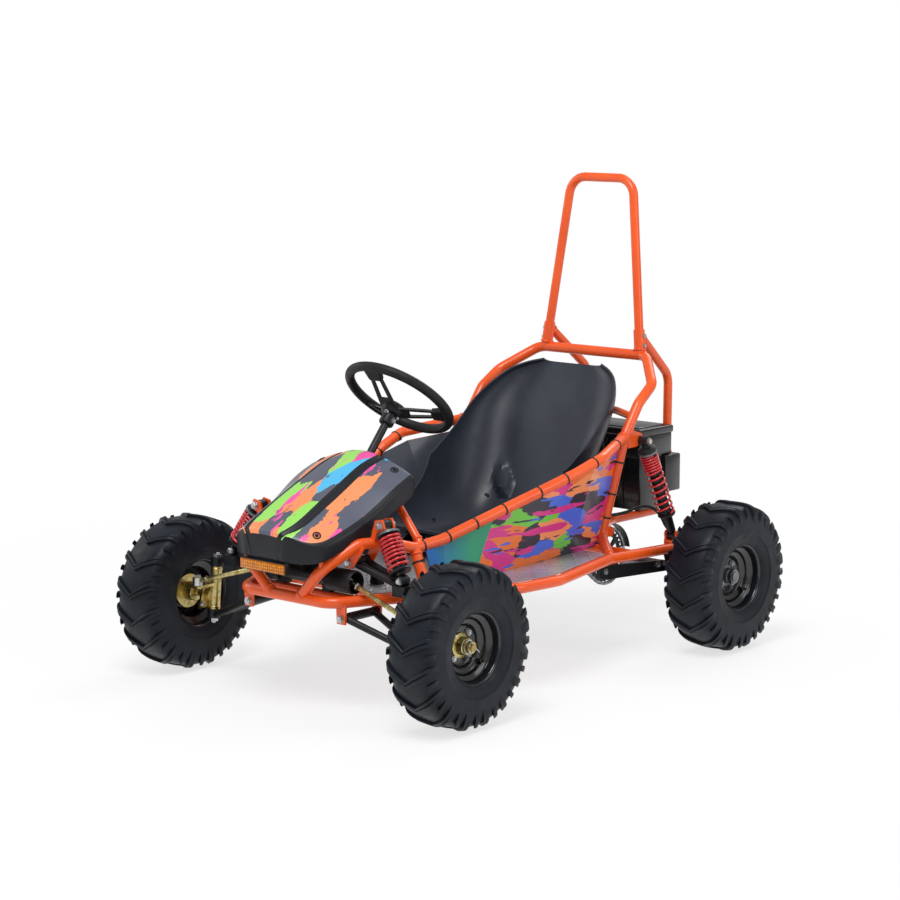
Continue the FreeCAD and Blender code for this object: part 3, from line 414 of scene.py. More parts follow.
panel_sticker = finish("panel sticker", (236, 116, 44), (236, 116, 44), (0.3, 0.42), 10, 1200, 0.08, coat=0.15)
patches = shards(panel_sticker, spot(panel_sticker, (0.0, 0.5, 1.0), (24, 0, 0)), 21.0, (0.0, deep_orange),
                 (0.32, magenta), (0.46, night), (0.62, violet), (0.76, leaf), (0.86, peach))
for paint, turn, shift in ((violet, 30, 4), (magenta, -52, 9)):
    dashes = strokes(panel_sticker, 0.61, 22, 2, 0.5, (0, 0.22, 1.5), (turn, 0, 0), (0, shift, 2))
    patches = mix(panel_sticker, dashes, patches, paint)
stripes = strokes(panel_sticker, 0.62, 30, 3, 0.6, (0, 0.22, 1.6), (24, 0, 0))
striped = mix(panel_sticker, stripes, patches, night)
# The part ahead of the seat fades from blue to teal
place = node(panel_sticker, "SeparateXYZ", {"Vector": spot(panel_sticker)})
slanted = maths(panel_sticker, "ADD", place.outputs["Y"], maths(panel_sticker, "MULTIPLY", place.outputs["Z"], -0.35))
ahead = maths(panel_sticker, "LESS_THAN", slanted, -0.29)
fade = ramp(panel_sticker, between(panel_sticker, place.outputs["Y"], 0, 1, -0.34, -0.2), (0.1, shade(10, 96, 168)),
            (0.9, shade(30, 150, 110)))
# Only the outer face has the sticker
facing = node(panel_sticker, "SeparateXYZ", {"Vector": node(panel_sticker, "NewGeometry").outputs["True Normal"]})
outer_face = maths(panel_sticker, "GREATER_THAN",
                   maths(panel_sticker, "MULTIPLY", facing.outputs["X"], place.outputs["X"]), 0.0)
recolour(panel_sticker, mix(panel_sticker, outer_face, shade(74, 78, 88), mix(panel_sticker, ahead, striped, fade)))

# The slot of a finish's pieces, where they name no other
finish_slots = {
    orange_paint: "frame_paint", satin_black: "black_paint", gloss_black: "black_paint", red_paint: "spring_paint",
    bright_steel: "steel", dull_steel: "steel", cast_grey: "steel", yellow_zinc: "yellow_zinc", tyre_rubber: "tyre",
    soft_rubber: "boot_rubber", tie_nylon: "boot_rubber", seat_plastic: "seat_plastic", cowl_plastic: "cowl_plastic",
    case_black: "battery_case", motor_black: "motor_case", amber: "reflector",
}
# What the frame's own nodes are finished in
node_finishes = {
    orange_paint: "lower_rail cross_members main_hoop roll_bar rear_stays upper_rails front_struts rear_cross_tube"
                  " battery_tray rear_arm frame_brackets seat_bar column_support cowl_posts",
    satin_black: "seat_brackets lower_arms upper_arms dampers rack_housing brake_caliper axle_carriers pedals"
                 " steering_shaft chain_guard sprocket",
    gloss_black: "rim_front_left rim_front_right rear_rims",
    case_black: "battery_box battery_lid control_box",
    red_paint: "coil_springs",
    yellow_zinc: "tie_rods knuckle_left knuckle_right hub_front_left hub_front_right",
    dull_steel: "rack_bar rear_axle rear_hubs brake_disc drive_chain",
    tyre_rubber: "tyre_front_left tyre_front_right rear_tyres",
    soft_rubber: "rack_boots steering_wheel brake_hose",
    tread_plate: "floor_plate",
    seat_plastic: "seat",
    cowl_plastic: "nose_cowl",
    panel_sticker: "side_panels",
    amber: "front_reflector",
    motor_black: "motor",
}
for material, names in node_finishes.items():
    for name in names.split():
        cad[name].data.materials.clear()
        cad[name].data.materials.append(material)

# Tyres

# Rows across the tread from its middle: top x, top depth, foot x, foot depth, sweep, half width
lug_table = [
    (0.0, 0.0, 0.0, 9.0, 0.0, 7.6),
    (12, 0.2, 12, 9.4, 7.5, 7.8),
    (24, 0.8, 24, 10.2, 15, 8.2),
    (34, 1.8, 34, 11.4, 20, 9.0),
    (44, 4.4, 43, 14.6, 26, 9.6),
    (52, 8.8, 50, 20.0, 31, 9.6),
    (57.5, 15.0, 54, 27.0, 34, 10.0),
    (60.4, 23.5, 57.0, 34.0, 35.5, 10.0),
    (61.0, 32.0, 58.4, 41.0, 36.5, 9.2),
    (60.2, 41.0, 59.4, 46.0, 37.5, 7.4),
]
# Columns over a lug's width: place, how far the top is lowered
lug_columns = [(-1.0, 1.6), (-0.78, 0.0), (-0.18, 0.0), (0.0, 2.6), (0.18, 0.0), (0.78, 0.0), (1.0, 1.6)]
block_table = lug_table[5:9]
block_columns = [(-1, 1.2), (-0.5, 0), (0.5, 0), (1, 1.2)]
lug_count, lug_start, lug_sunk = 16, 3.8, 1.5
tyre_profile = [(44, 76), (48, 77), (53, 82), (56.5, 92), (58.6, 104), (59.4, 106), (60.2, 106), (60.6, 110),
                (60.2, 118), (59.8, 130), (58.6, 144), (55.6, 154), (49.4, 162), (41, 167), (26, 170.2), (0, 171.6)]


def lug(bm, rows, side, angle, columns, shift=0.0, width=1.0):
    """One raised lug, wrapped round the tyre from an angle; shift is how far round it starts, in millimetres."""
    before = set(bm.verts)
    grid = sheet(bm, len(columns), len(rows))
    for i, vert in enumerate(grid):
        row, (across, lowered) = rows[i // len(columns)], columns[i % len(columns)]
        around_tread = radians(angle) + (row[4] + shift + across * row[5] * width) / tyre_r
        radius = tyre_r - row[1] - lowered
        vert.co = row[0] * side, radius * sin(around_tread), radius * cos(around_tread)
    walls = bmesh.ops.extrude_edge_only(bm, edges=[edge for edge in edges_of(grid) if edge.is_boundary])["geom"]
    for vert in (g for g in walls if isinstance(g, bmesh.types.BMVert)):
        # Each foot lies under its top, a little wider, sunk into the carcass
        radius = Vector(vert.co.yz).length
        nearest = min(rows, key=lambda r: abs(r[0] - abs(vert.co.x)) + abs(tyre_r - r[1] - radius))
        down = (nearest[3] - nearest[1] + lug_sunk) / radius
        vert.co.y *= 1 - down
        vert.co.z *= 1 - down
        vert.co.x += side * (nearest[2] - nearest[0])
    outwards(bm, added(bm, before))


wheels = [
    ("front_left", "wheel_front_left", wheel_x, front_y, "tyre_front_left", "rim_front_left"),
    ("front_right", "wheel_front_right", -wheel_x, front_y, "tyre_front_right", "rim_front_right"),
    ("rear_left", "rear_axle", wheel_x, rear_y, "rear_tyres", "rear_rims"),
    ("rear_right", "rear_axle", -wheel_x, rear_y, "rear_tyres", "rear_rims"),
]
half = [tuple(p) for p in eased(tyre_profile, 3)]
section = half + [(-a, r) for a, r in reversed(half[:-1])] + [(-44, 73.5), (44, 73.5)]
for label, ridden, x, y, tyre_node, _ in wheels:
    bm = bmesh.new()
    turned(bm, section, along=X, steps=80)
    for side in (1, -1):
        for i in range(lug_count):
            angle = lug_start + i * 360 / lug_count
            lug(bm, lug_table, side, angle, lug_columns)
            lug(bm, block_table, side, angle, block_columns, shift=34, width=0.62)
    bmesh.ops.translate(bm, vec=(x, y, wheel_z), verts=bm.verts)
    finished("tyre_tread_" + label, bm, tyre_rubber, body=ridden, replaces=[tyre_node], sharp=34)

# Rims: pressed steel, outer face first, then the back
rim_profile = [
    (49, 83.4), (50.4, 82.2), (50.2, 79), (48.2, 76), (45, 74.4), (41, 73.8), (32, 73.4), (29, 72.2), (26.4, 66),
    (25, 62.4), (22.6, 60.4), (18, 59.8), (16, 58.4), (14.6, 54), (14.2, 49), (13, 47), (8, 45.4), (5, 43.6),
    (3.6, 40), (3.2, 30), (3.2, 24),
    (0.2, 24), (0.2, 42), (2, 45), (10, 49.4), (11.4, 57), (9, 59.4), (-23, 59.6), (-30, 73.2), (-45, 73.8),
    (-49, 77), (-50.4, 82.2), (-49, 83.4), (-47.6, 82.6), (-47.2, 77), (-45, 75.9), (-29, 75.8), (-23, 62.2),
    (23, 62.2), (29, 75.8), (45, 75.9), (47.2, 77), (47.6, 82.6),
]
stud_circle = 34
for label, ridden, x, y, _, rim_node in wheels:
    way = X if x > 0 else -X
    centre = Vector((x, y, wheel_z))
    bm, nuts = bmesh.new(), bmesh.new()
    turned(bm, rim_profile, centre, way, 72)
    # Valve stem through the outer step
    valve = centre + way * 14 + Vector((0, 40, -36))
    rod(bm, valve, valve + way * 15, 4.2, 14)
    rod(bm, valve + way * 15, valve + way * 24, 3.2, 14)
    for place in around(centre + way * 3.2, stud_circle, 4, 45):
        bolt(nuts, place, way, 8, 2)
    finished("rim_pressing_" + label, bm, gloss_black, body=ridden, replaces=[rim_node], sharp=50)
    finished("wheel_nuts_" + label, nuts, bright_steel, body=ridden)


def hub(bm, centre, way, bore, steps, back, nose):
    """A hub's barrel and flange behind the rim and its nose in front, both bored for the axle."""
    barrel = [(back, 19), (back + 1, 20), (-8, 22), (-8, 39), (-7, 40), (-1.8, 40), (-1, 39)]
    for profile in (nose, barrel):
        turned(bm, [(profile[0][0], bore), *profile, (profile[-1][0], bore)], centre, way, steps)


# Front hubs: plated flange, bearing nose, washer, castle nut and split pin
for label, side in (("left", 1), ("right", -1)):
    centre, way = Vector((side * wheel_x, front_y, wheel_z)), X * side
    bm = bmesh.new()
    hub(bm, centre, way, 9, 48, -34, [(3.3, 26), (4, 27.5), (6.6, 27.5), (7.4, 26), (7.8, 20), (23, 19), (24.6, 17.5)])
    finished("hub_plating_" + label, bm, yellow_zinc, body="wheel_front_" + label, replaces=["hub_front_" + label])
    bm = bmesh.new()
    turned(bm, [(25, 0), (25, 15.5), (26, 16), (27, 15.5), (27, 0)], centre, way, 32)
    hexagon(bm, centre + way * 27, way, 23, 7)
    for i, place in enumerate(around(centre + way * 33, 8.2, 6, 30)):
        block(bm, (-2.4, -2.6, 0), (2.4, 2.6, 5.5), 0.7, where=placed(place, way, i * 60))
    rod(bm, centre + way * 30, centre + way * 41, 7.4, 20)
    pin = centre + way * 36.5
    for start, end, radius in (((0, -14, 4), (0, 15, -5), 1.5), ((0, -13, 4), (side * 6, -19, 1), 1.3),
                               ((0, 14, -5), (side * 5, 18, -12), 1.3)):
        rod(bm, pin + Vector(start), pin + Vector(end), radius, 10, 0.5)
    finished("castle_nut_" + label, bm, bright_steel, body="knuckle_" + label)

# Rear hubs and their axle nuts
bm, nuts = bmesh.new(), bmesh.new()
for way in (X, -X):
    centre = way * wheel_x + Vector((0, rear_y, wheel_z))
    hub(bm, centre, way, 13, 40, -42, [(3.3, 25), (4, 26), (7, 26), (8, 24), (8.6, 19), (19, 18), (20, 17)])
    hexagon(nuts, centre + way * 20.4, way, 27, 9)
    rod(nuts, centre + way * 18, centre + way * 33.8, 9, 20)
finished("rear_hub_castings", bm, cast_grey, body="rear_axle", replaces=["rear_hubs"])
finished("axle_nuts", nuts, bright_steel, body="rear_axle")

# Springs and dampers: where each coil starts and ends, from the damper's top
front_coil, rear_coil = (25, 106), (34, 196)


def spring(bm, top, foot, start, end, wire, radius, close_turns, close_pitch, open_turns):
    """A coil spring wound closer near its top."""
    before = set(bm.verts)
    sides, steps = 10, 22
    stood = Matrix.Translation((radius, 0, 0)) @ Matrix.Rotation(pi / 2, 4, "X")
    circle = bmesh.ops.create_circle(bm, cap_ends=False, segments=sides, radius=wire, matrix=stood)["verts"]
    open_pitch = (end - start - 2 * wire - close_turns * close_pitch) / open_turns
    geom = circle + edges_of(circle)
    for turns, pitch in ((close_turns, close_pitch), (open_turns, open_pitch)):
        made = bmesh.ops.spin(bm, geom=geom, cent=(0, 0, 0), axis=Z, dvec=(0, 0, pitch / steps),
                              angle=2 * pi * turns, steps=int(turns * steps), use_merge=False, use_duplicate=False)
        geom = [g for g in made["geom_last"] if isinstance(g, (bmesh.types.BMVert, bmesh.types.BMEdge))]
    new = added(bm, before)
    bmesh.ops.holes_fill(bm, edges=[edge for edge in edges_of(new) if edge.is_boundary], sides=0)
    outwards(bm, new)
    along = (foot - top).normalized()
    bmesh.ops.transform(bm, matrix=placed(top + along * (start + wire), along), verts=new)


bm = bmesh.new()
spring(bm, *front_shock, *front_coil, 3.2, 22.4, 6, 8.6, 2)
spring(bm, *rear_shock, *rear_coil, 2.9, 19.2, 6, 7.0, 7)
mirrored(bm)
finished("spring_wire", bm, red_paint, replaces=["coil_springs"], sharp=60)


def damper(bm, collars, top, foot, eye_axis, cap_r, start, end):
    """A damper: eyes with bushes, upper cap, threaded collar, body, lower seat and rod."""
    length = (foot - top).length
    along = (foot - top).normalized()
    for eye in (top, foot):
        turned(bm, [(-12, 5), (-12, 10), (-11, 11), (11, 11), (12, 10), (12, 5)], eye, eye_axis, 28)
        turned(collars, [(-12.2, 4), (-12.2, 7), (12.2, 7), (12.2, 4)], eye, eye_axis, 20)
    turned(bm, [(8, 0), (8, 9), (15, 10), (17, cap_r - 6), (19, cap_r - 1), (start - 3, cap_r), (start, cap_r - 1),
                (start, 14), (start + 30, 13.5), (start + 31, 12.6), (end - 8, 12.6), (end - 6, 14), (end - 0.5, 14),
                (end, cap_r - 1.5), (end + 3, cap_r), (end + 6, cap_r - 1.5), (end + 7, 11), (length - 12, 9.5),
                (length - 8, 0)], top, along, 36)
    turned(collars, [(start - 6, cap_r - 4), (start - 6, cap_r + 0.8), (start - 1, cap_r + 0.8),
                     (start - 1, cap_r - 4)], top, along, 36)


bm, collars = bmesh.new(), bmesh.new()
damper(bm, collars, *front_shock, Y, 25, *front_coil)
damper(bm, collars, *rear_shock, X, 22, *rear_coil)
mirrored(bm)
mirrored(collars)
finished("damper_bodies", bm, satin_black, replaces=["dampers"])
finished("damper_collars", collars, cast_grey)

# Seat: one moulded bucket, from sections of y, z, half width, flat half width, depth, lean
seat_table = [
    (-152, 318, 140, 96, 8, -30), (-146, 324, 152, 106, 16, -30), (-100, 303, 160, 108, 32, -22),
    (-40, 283, 168, 110, 52, -12), (30, 271, 180, 108, 84, -6), (90, 268, 191, 105, 116, -7),
    (150, 272, 199, 102, 152, -14), (205, 287, 203, 100, 174, -26), (250, 322, 204, 100, 166, -40),
    (290, 378, 205, 100, 146, -50), (325, 448, 205, 100, 112, -58), (358, 520, 203, 99, 80, -62),
    (385, 572, 188, 94, 56, -63), (408, 615, 160, 84, 36, -64), (421, 638, 128, 70, 22, -64),
    (430, 654, 88, 50, 10, -64),
]
seat_columns = [-1, -0.985] + [i / 26 for i in range(-25, 26)] + [0.985, 1]
# Its wall, and the share of a section's half that is straight
seat_wall, straight = 4.5, 0.5
# Corners (x, z) of the raised fold beside each hip, its point first; the fold is on the back, behind back_y
hip_fold = [(130, 440), (133, 374), (112, 344), (84, 330), (62, 338), (64, 372)]
fold_top, fold_low, fold_edge, back_y = 440, 330, 15, 205
fold_least, fold_more = 5, 15


def fold_height(x, z):
    """How far the seat stands proud at a place: nothing at the fold's edge, most at its foot."""
    reach = min(((az - z) * (bx - ax) - (ax - abs(x)) * (bz - az)) / hypot(bx - ax, bz - az)
                for (ax, az), (bx, bz) in zip(hip_fold, hip_fold[1:] + hip_fold[:1]))
    ease = min(1, max(0, reach) / fold_edge)
    return ease * ease * (3 - 2 * ease) * (fold_least + fold_more * (fold_top - z) / (fold_top - fold_low))


def seat_point(row, u):
    """A point on the seat's inner face: u runs over the section from side to side."""
    y, z, half, flat, depth, lean = row
    reach = abs(u)
    side = 1 if u > 0 else -1
    if reach <= straight:
        x, d = flat * reach / straight, 0
    else:
        turn = (reach - straight) / (1 - straight) * pi / 2
        x, d = flat + (half - flat) * sin(turn), depth * (1 - cos(turn))
    inwards = Vector((0, sin(radians(lean)), cos(radians(lean))))
    place = Vector((side * x, y, z)) + inwards * (d + seat_wall)
    if y > back_y:
        place += inwards * fold_height(x, place.z)
    return place


bm = bmesh.new()
rows = eased(seat_table, 6)
for i, vert in enumerate(sheet(bm, len(seat_columns), len(rows))):
    vert.co = seat_point(rows[i // len(seat_columns)], seat_columns[i % len(seat_columns)])
upwards(bm, lambda face: (face.calc_center_median() - Vector((0, 60, 272))).length)
finished("seat_moulding", bm, seat_plastic, replaces=["seat"], wall=seat_wall, bevel=1.6, subdivide=1, sharp=50)
bm = bmesh.new()
# Belt slots: the row in the table, the share of the way to the next, the share of the half width, half length
for row, share, u, half in ((8, 0.15, 0.6, 11), (5, 0.0, 0.72, 9)):
    low, high = Vector(seat_table[row]), Vector(seat_table[row + 1])
    place = seat_point(low.lerp(high, share), u)
    ahead = seat_point(low.lerp(high, share + 0.05), u)
    beside = seat_point(low.lerp(high, share), u - 0.02)
    normal = (ahead - place).cross(beside - place).normalized()
    if normal.z < 0:
        normal = -normal
    turn = Matrix((X, normal.cross(X).normalized(), normal)).transposed().to_4x4()
    block(bm, (-half, -3.4, -2), (half, 3.4, 0.7), 0.9, where=Matrix.Translation(place) @ turn)
mirrored(bm)
finished("seat_slots", bm, tie_nylon)

# Nose cowl, from the front back: y, groove, middle height, groove height, edge, edge height, skirt height
cowl_table = [
    (-640, 50, 394, 392, 58, 388, 330), (-634, 52, 397, 395, 78, 383, 329), (-602, 66, 412, 408, 131, 360, 324),
    (-540, 63, 445, 441, 142, 384, 352), (-474, 60, 478, 472, 150, 407, 380), (-400, 54, 514, 508, 158, 455, 415),
    (-360, 52, 525, 519, 157, 474, 431), (-325, 50, 532, 526, 155, 488, 442),
]
cowl_crown = 3


def cowl_top(x, groove, groove_z, edge, edge_z):
    """Height of the cowl's top from its edge to its groove, a little crowned."""
    along = (edge - x) / max(edge - groove, 1)
    return edge_z + (groove_z - edge_z) * along + cowl_crown * sin(pi * min(1, max(0, along)))


def cowl_row(groove, mid_z, groove_z, edge, edge_z, skirt_z):
    """Half a section of the cowl, from the skirt's foot to the middle."""
    lip = groove + 10
    near, halfway, far = (cowl_top(x, groove, groove_z, edge, edge_z) for x in (edge - 5, (edge + lip) / 2, lip))
    return [(edge, skirt_z), (edge, (skirt_z + edge_z) / 2), (edge - 0.3, edge_z - 6), (edge - 1.5, edge_z - 1.5),
            (edge - 5, near), ((edge + lip) / 2, halfway), (lip, far), (lip - 2, far - 5.5),
            (groove + 1, groove_z - 5.5), (groove - 1, groove_z + 0.4), (groove * 0.5, (groove_z + mid_z) / 2 + 0.8),
            (0, mid_z)]


bm = bmesh.new()
profiles = [[Vector((x, row[0], z)) for x, z in cowl_row(*row[1:])] for row in cowl_table]
# The front face rises from a straight foot, as wide as the first row
steps_across = len(profiles[0]) - 1
y, _, _, _, half, _, foot_z = cowl_table[0]
profiles.insert(0, [Vector((half * (1 - i / steps_across), y, foot_z)) for i in range(steps_across + 1)])
full = [line + [Vector((-p.x, p.y, p.z)) for p in reversed(line[:-1])] for line in profiles]
across = len(full[0])
grid = sheet(bm, across, len(full))
number = {vert: i for i, vert in enumerate(grid)}
for vert in grid:
    vert.co = full[number[vert] // across][number[vert] % across]
# Skirts, grooves and front face have no sticker
bare = {0, 1, 2, 3, 6, 7, 8}
bare |= {across - 2 - strip for strip in bare}
for face in bm.faces:
    line, strip = divmod(min(number[vert] for vert in face.verts), across)
    face.material_index = 0 if line == 0 or strip in bare else 1
upwards(bm, lambda face: -face.calc_center_median().z)
bmesh.ops.remove_doubles(bm, verts=bm.verts[:], dist=0.05)
finished("cowl_moulding", bm, cowl_plastic, cowl_sticker, replaces=["nose_cowl"], wall=3, subdivide=2, sharp=60)

# Steering wheel: padded ring, bowl, three slotted spokes with thumb pads
wheel_centre = wheel_hub + column * 38
spoke_up = column.cross(X)
grip_r, grip_thick, spoke_end = 124, 11, 117


def spoke(bm, angle, rows, thick):
    """A flat bar from the bowl to the ring. Rows: share of the way, half width, half width of the slot."""
    before = set(bm.verts)
    out = X * cos(radians(angle)) + spoke_up * sin(radians(angle))
    side = column.cross(out)
    foot = wheel_hub + column * 4 + out * 16
    way = wheel_centre + out * spoke_end - foot
    grid = sheet(bm, 4, len(rows))
    for i, vert in enumerate(grid):
        share, width, slot = rows[i // 4]
        vert.co = foot + way * share + side * (-width, -slot, slot, width)[i % 4] + column * thick / 2
    faces = list({face for vert in grid for face in vert.link_faces})
    if rows[0][0] == 0:
        # The window of a whole spoke
        middle = foot + way * 0.44
        gone = min(faces, key=lambda face: (face.calc_center_median() - middle).length)
        faces.remove(gone)
        bmesh.ops.delete(bm, geom=[gone], context="FACES")
    bmesh.ops.recalc_face_normals(bm, faces=faces)
    if faces[0].normal.dot(column) < 0:
        bmesh.ops.reverse_faces(bm, faces=faces)
    bmesh.ops.solidify(bm, geom=faces, thickness=thick)
    outwards(bm, added(bm, before))


bm, plates, bolts = bmesh.new(), bmesh.new(), bmesh.new()
ring(bm, wheel_centre, column, grip_r, grip_thick, 112, 22)
for angle in (-90, 25, 155):
    spoke(plates, angle, [(0, 22, 12.5), (0.22, 21, 12), (0.68, 17.5, 9.5), (1, 17, 9)], 6)
    spoke(bm, angle, [(0.7, 17, 8), (0.85, 21, 10), (1, 24, 12)], 13)
turned(plates, [(-8, 0), (-8, 20), (-6, 24), (2, 27.5), (13, 28), (17, 25.5), (18, 20), (14, 14), (13, 0)],
       wheel_hub, column, 48)
turned(plates, [(-34, 9), (-34, 15.5), (-32, 17), (-10, 17), (-8, 15), (-8, 9)], wheel_hub, column, 32)
for i in range(3):
    turn = radians(120 * i + 35)
    out = X * cos(turn) + spoke_up * sin(turn)
    bolt(bolts, wheel_hub - column * 8 + out * 17, -column, 6, 1)
    bolt(bolts, wheel_hub + column * 13 + out * 9, column, 4.5)
bolt(bolts, wheel_hub - column * 22 + X * 16, X, 6, 2)
bolt(bolts, wheel_hub - column * 22 - X * 16, -X, 6)
finished("steering_grip", bm, soft_rubber, body="steering", replaces=["steering_wheel"], slot="grip", bevel=1.6,
         sharp=40)
finished("steering_spokes", plates, satin_black, body="steering", replaces=["steering_wheel"], bevel=0.9)
finished("steering_bolts", bolts, bright_steel, body="steering")

# Nylon ties that lace the side panels to the tubes


def tie(bm, place, along, roll):
    """A band round a tube, its head and its cut tail."""
    ring(bm, place, along, frame_r + 0.8, 1.0, 28, 8, 2.1)
    where = placed(place, along, roll)
    block(bm, (frame_r + 0.4, -2.6, -3), (frame_r + 4.4, 2.6, 3), 0.8, where=where)
    block(bm, (frame_r + 1.4, 2.2, -1.7), (frame_r + 2.6, 6.4, 1.7), 0.3, where=where)


# Runs of ties: the tube's two ends and the shares of the way
tie_table = [(rail_path[i], rail_path[i + 1], shares) for i, shares in (
    (4, (0.3,)), (5, (0.06, 0.35, 0.66)), (6, (0.1, 0.74)), (7, (0.7,)), (8, (0.6,)))]
tie_table += [(hoop_knee, hoop_node, (0.19, 0.43, 0.75)), (strut_top, strut_foot, (0.3,))]
bm = bmesh.new()
for start, end, shares in tie_table:
    for i, share in enumerate(shares):
        tie(bm, start.lerp(end, share), end - start, 150 + 23 * i)
mirrored(bm)
finished("cable_ties", bm, tie_nylon)

# Weld beads where tubes meet: the bead's radius, how fine its ripple is and how far it goes
bead_r, ripple_scale, ripple = 2.3, 0.33, 0.7


def weld(bm, start, towards, distance, radius):
    """A rippled bead round a tube, a distance from where it starts."""
    start = Vector(start)
    along = (Vector(towards) - start).normalized()
    for vert in ring(bm, start + along * distance, along, radius + 0.3, bead_r, 40, 8):
        vert.co += Vector(noise.noise_vector(vert.co * ripple_scale)) * ripple


# Beads: the tube's start, a point that it leads to, the bead's distance and the tube's radius
weld_table = [
    (strut_foot, strut_top, 13, frame_r),
    (strut_top, strut_foot, 14, frame_r),
    (rail_path[0], rail_path[1], 15, frame_r),
    (rail_path[9], rail_path[8], 15, frame_r),
    (tail, hoop_knee, 15, frame_r),
    (roll_foot, roll_top, 14, 13.8),
    (roll_foot + (roll_top - roll_foot).normalized() * 51, (127, 640, 617), 15, bar_r),
    ((188, -345, 344), (70, -323.7, 459), 14, brace_r),
    ((304, 300, 237.5), (0, 300, 237.5), 21, cross_r),
]
for y, half in ((-508, 162), (-434, 201.4), (-270, 288.7), (-60, 348), (150, 297.4)):
    weld_table.append(((half, y, rail_z), (0, y, rail_z), 14, cross_r))
bm = bmesh.new()
# Without a seed the ripple would differ from run to run
noise.seed_set(1)
for row in weld_table:
    weld(bm, *row)
mirrored(bm)
finished("weld_beads", bm, orange_paint, sharp=70)

# Bolts of the frame: place, the way that the head faces, size
up_bar = (roll_top - roll_foot).normalized()
bolt_table = [
    (front_shock[0] - Y * 17.3, -Y, 9), (front_shock[0] + Y * 17.3, Y, 9),
    (front_shock[1] - Y * 12.2, -Y, 7), (front_shock[1] + Y * 12.2, Y, 7), (rear_shock[0] + X * 12.2, X, 8),
    (rear_shock[1] + X * 17.3, X, 8), (rear_shock[1] - X * 17.3, -X, 8),
    ((141, -548.5, 204), -Y, 9), ((141, -431.5, 204), Y, 8), ((125, -506.5, 318), -Y, 8), ((125, -441.5, 318), Y, 8),
    ((281, 196, 212), X, 7), ((281, 398, 199), X, 8), ((281, 428, 197), X, 8),
    (roll_foot + up_bar * 24 + X * 13.6, X, 5), (roll_foot + up_bar * 48 + X * 13.6, X, 5),
    ((94, -38, 266), Z, 6), ((94, 150, 266), Z, 6),
]
bm = bmesh.new()
for place, along, size in bolt_table:
    bolt(bm, place, along, size, 1)
mirrored(bm)
for x in (-118, 118):
    for y in (-470, -330, -200, -70):
        button(bm, (x, y, 252.1), Z, 4.5)
finished("frame_bolts", bm, bright_steel)

# Hardware of the front uprights, which turns with them
pin = (kingpin_top - kingpin_foot).normalized()
for label, side in (("left", 1), ("right", -1)):
    bm, sleeves = bmesh.new(), bmesh.new()
    for joint, along in ((kingpin_top, pin), (kingpin_foot, -pin)):
        hexagon(bm, joint + along * 10.4, along, 18, 8)
        rod(bm, joint + along * 10.4, joint + along * 22, 5, 14)
        ring(sleeves, joint - along * 16, along, 12.6, 2.2, 32, 8)
    for y, z in ((-22, -18), (22, -16), (0, 26)):
        bolt(bm, (340, front_y + y, wheel_z + z), -X, 6, 1)
    for made in (bm, sleeves):
        if side < 0:
            bmesh.ops.scale(made, vec=(-1, 1, 1), verts=made.verts)
            bmesh.ops.reverse_faces(made, faces=made.faces[:])
    finished("upright_bolts_" + label, bm, bright_steel, body="knuckle_" + label)
    finished("upright_beads_" + label, sleeves, yellow_zinc, body="knuckle_" + label, sharp=60)

# Tie rod ends: bright sockets, lock nuts and the nuts above
rod_start, rod_end = Vector((128, -508, 278)), Vector((330, -526, 218))
rod_way = (rod_end - rod_start).normalized()
bm = bmesh.new()
turned(bm, [(-9.4, 0), (-9.4, 9), (-8, 11.6), (8, 11.6), (9.4, 9), (9.4, 0)], rod_end, Z, 36)
hexagon(bm, rod_end + Z * 9.2, Z, 15, 6)
hexagon(bm, rod_end - rod_way * 30, rod_way, 15, 7)
hexagon(bm, rod_start + rod_way * 22, rod_way, 15, 7)
mirrored(bm)
finished("rod_ends", bm, bright_steel, body="rack")

# Rubber sleeves over the ends of the rack
bm = bmesh.new()
turned(bm, [(72, 17.2), (72, 23), (74, 25.4), (78, 26.2), (144, 26.2), (148, 25), (149.5, 23.4), (148.5, 22.4),
            (97, 21.6), (95.2, 17.2)], rack, X, 48)
mirrored(bm)
finished("rack_sleeves", bm, soft_rubber, replaces=["rack_boots"])

# Reflector under the nose
bm, lens = bmesh.new(), bmesh.new()
block(bm, (-70, -642, 302), (70, -630, 328), 2.5)
block(bm, (-56, -634, 322), (56, -628, 350), 1.2)
block(lens, (-66.5, -645, 304.5), (66.5, -638, 325.5), 1.6)
finished("reflector_housing", bm, cowl_plastic, replaces=["front_reflector"])
finished("reflector_lens", lens, amber, replaces=["front_reflector"])

# Battery case with its lid, latches and the controller under its overhang
bm, latches = bmesh.new(), bmesh.new()
block(bm, (-154, 491, 298), (154, 584.2, 440), 5)
block(bm, (-155, 490, 426.4), (155, 622, 481), 5)
for x in (-100, -50, 0, 50, 100):
    block(bm, (x - 6, 486.5, 310), (x + 6, 492, 474), 2)
finished("battery_case", bm, case_black, replaces=["battery_box"])
bm = bmesh.new()
block(bm, (-158, 487, 480), (158, 625, 499), 5, 3)
block(bm, (-142, 503, 496), (142, 609, 501.5), 2.4)
finished("battery_cover", bm, case_black, replaces=["battery_lid"])
for x in (-95, 95):
    block(latches, (x - 11, 621, 440), (x + 11, 625.5, 466), 1.2)
    block(latches, (x - 7, 624, 458), (x + 7, 628, 492), 1.2)
    button(latches, (x, 625.3, 446), Y, 3.2)
finished("case_latches", latches, dull_steel)
bm = bmesh.new()
block(bm, (-163, 585, 334), (163, 648, 426), 4)
for i in range(19):
    x = -144 + 16 * i
    block(bm, (x - 2.4, 646, 340), (x + 2.4, 651, 420), 0.8)
finished("control_case", bm, case_black, replaces=["control_box"])

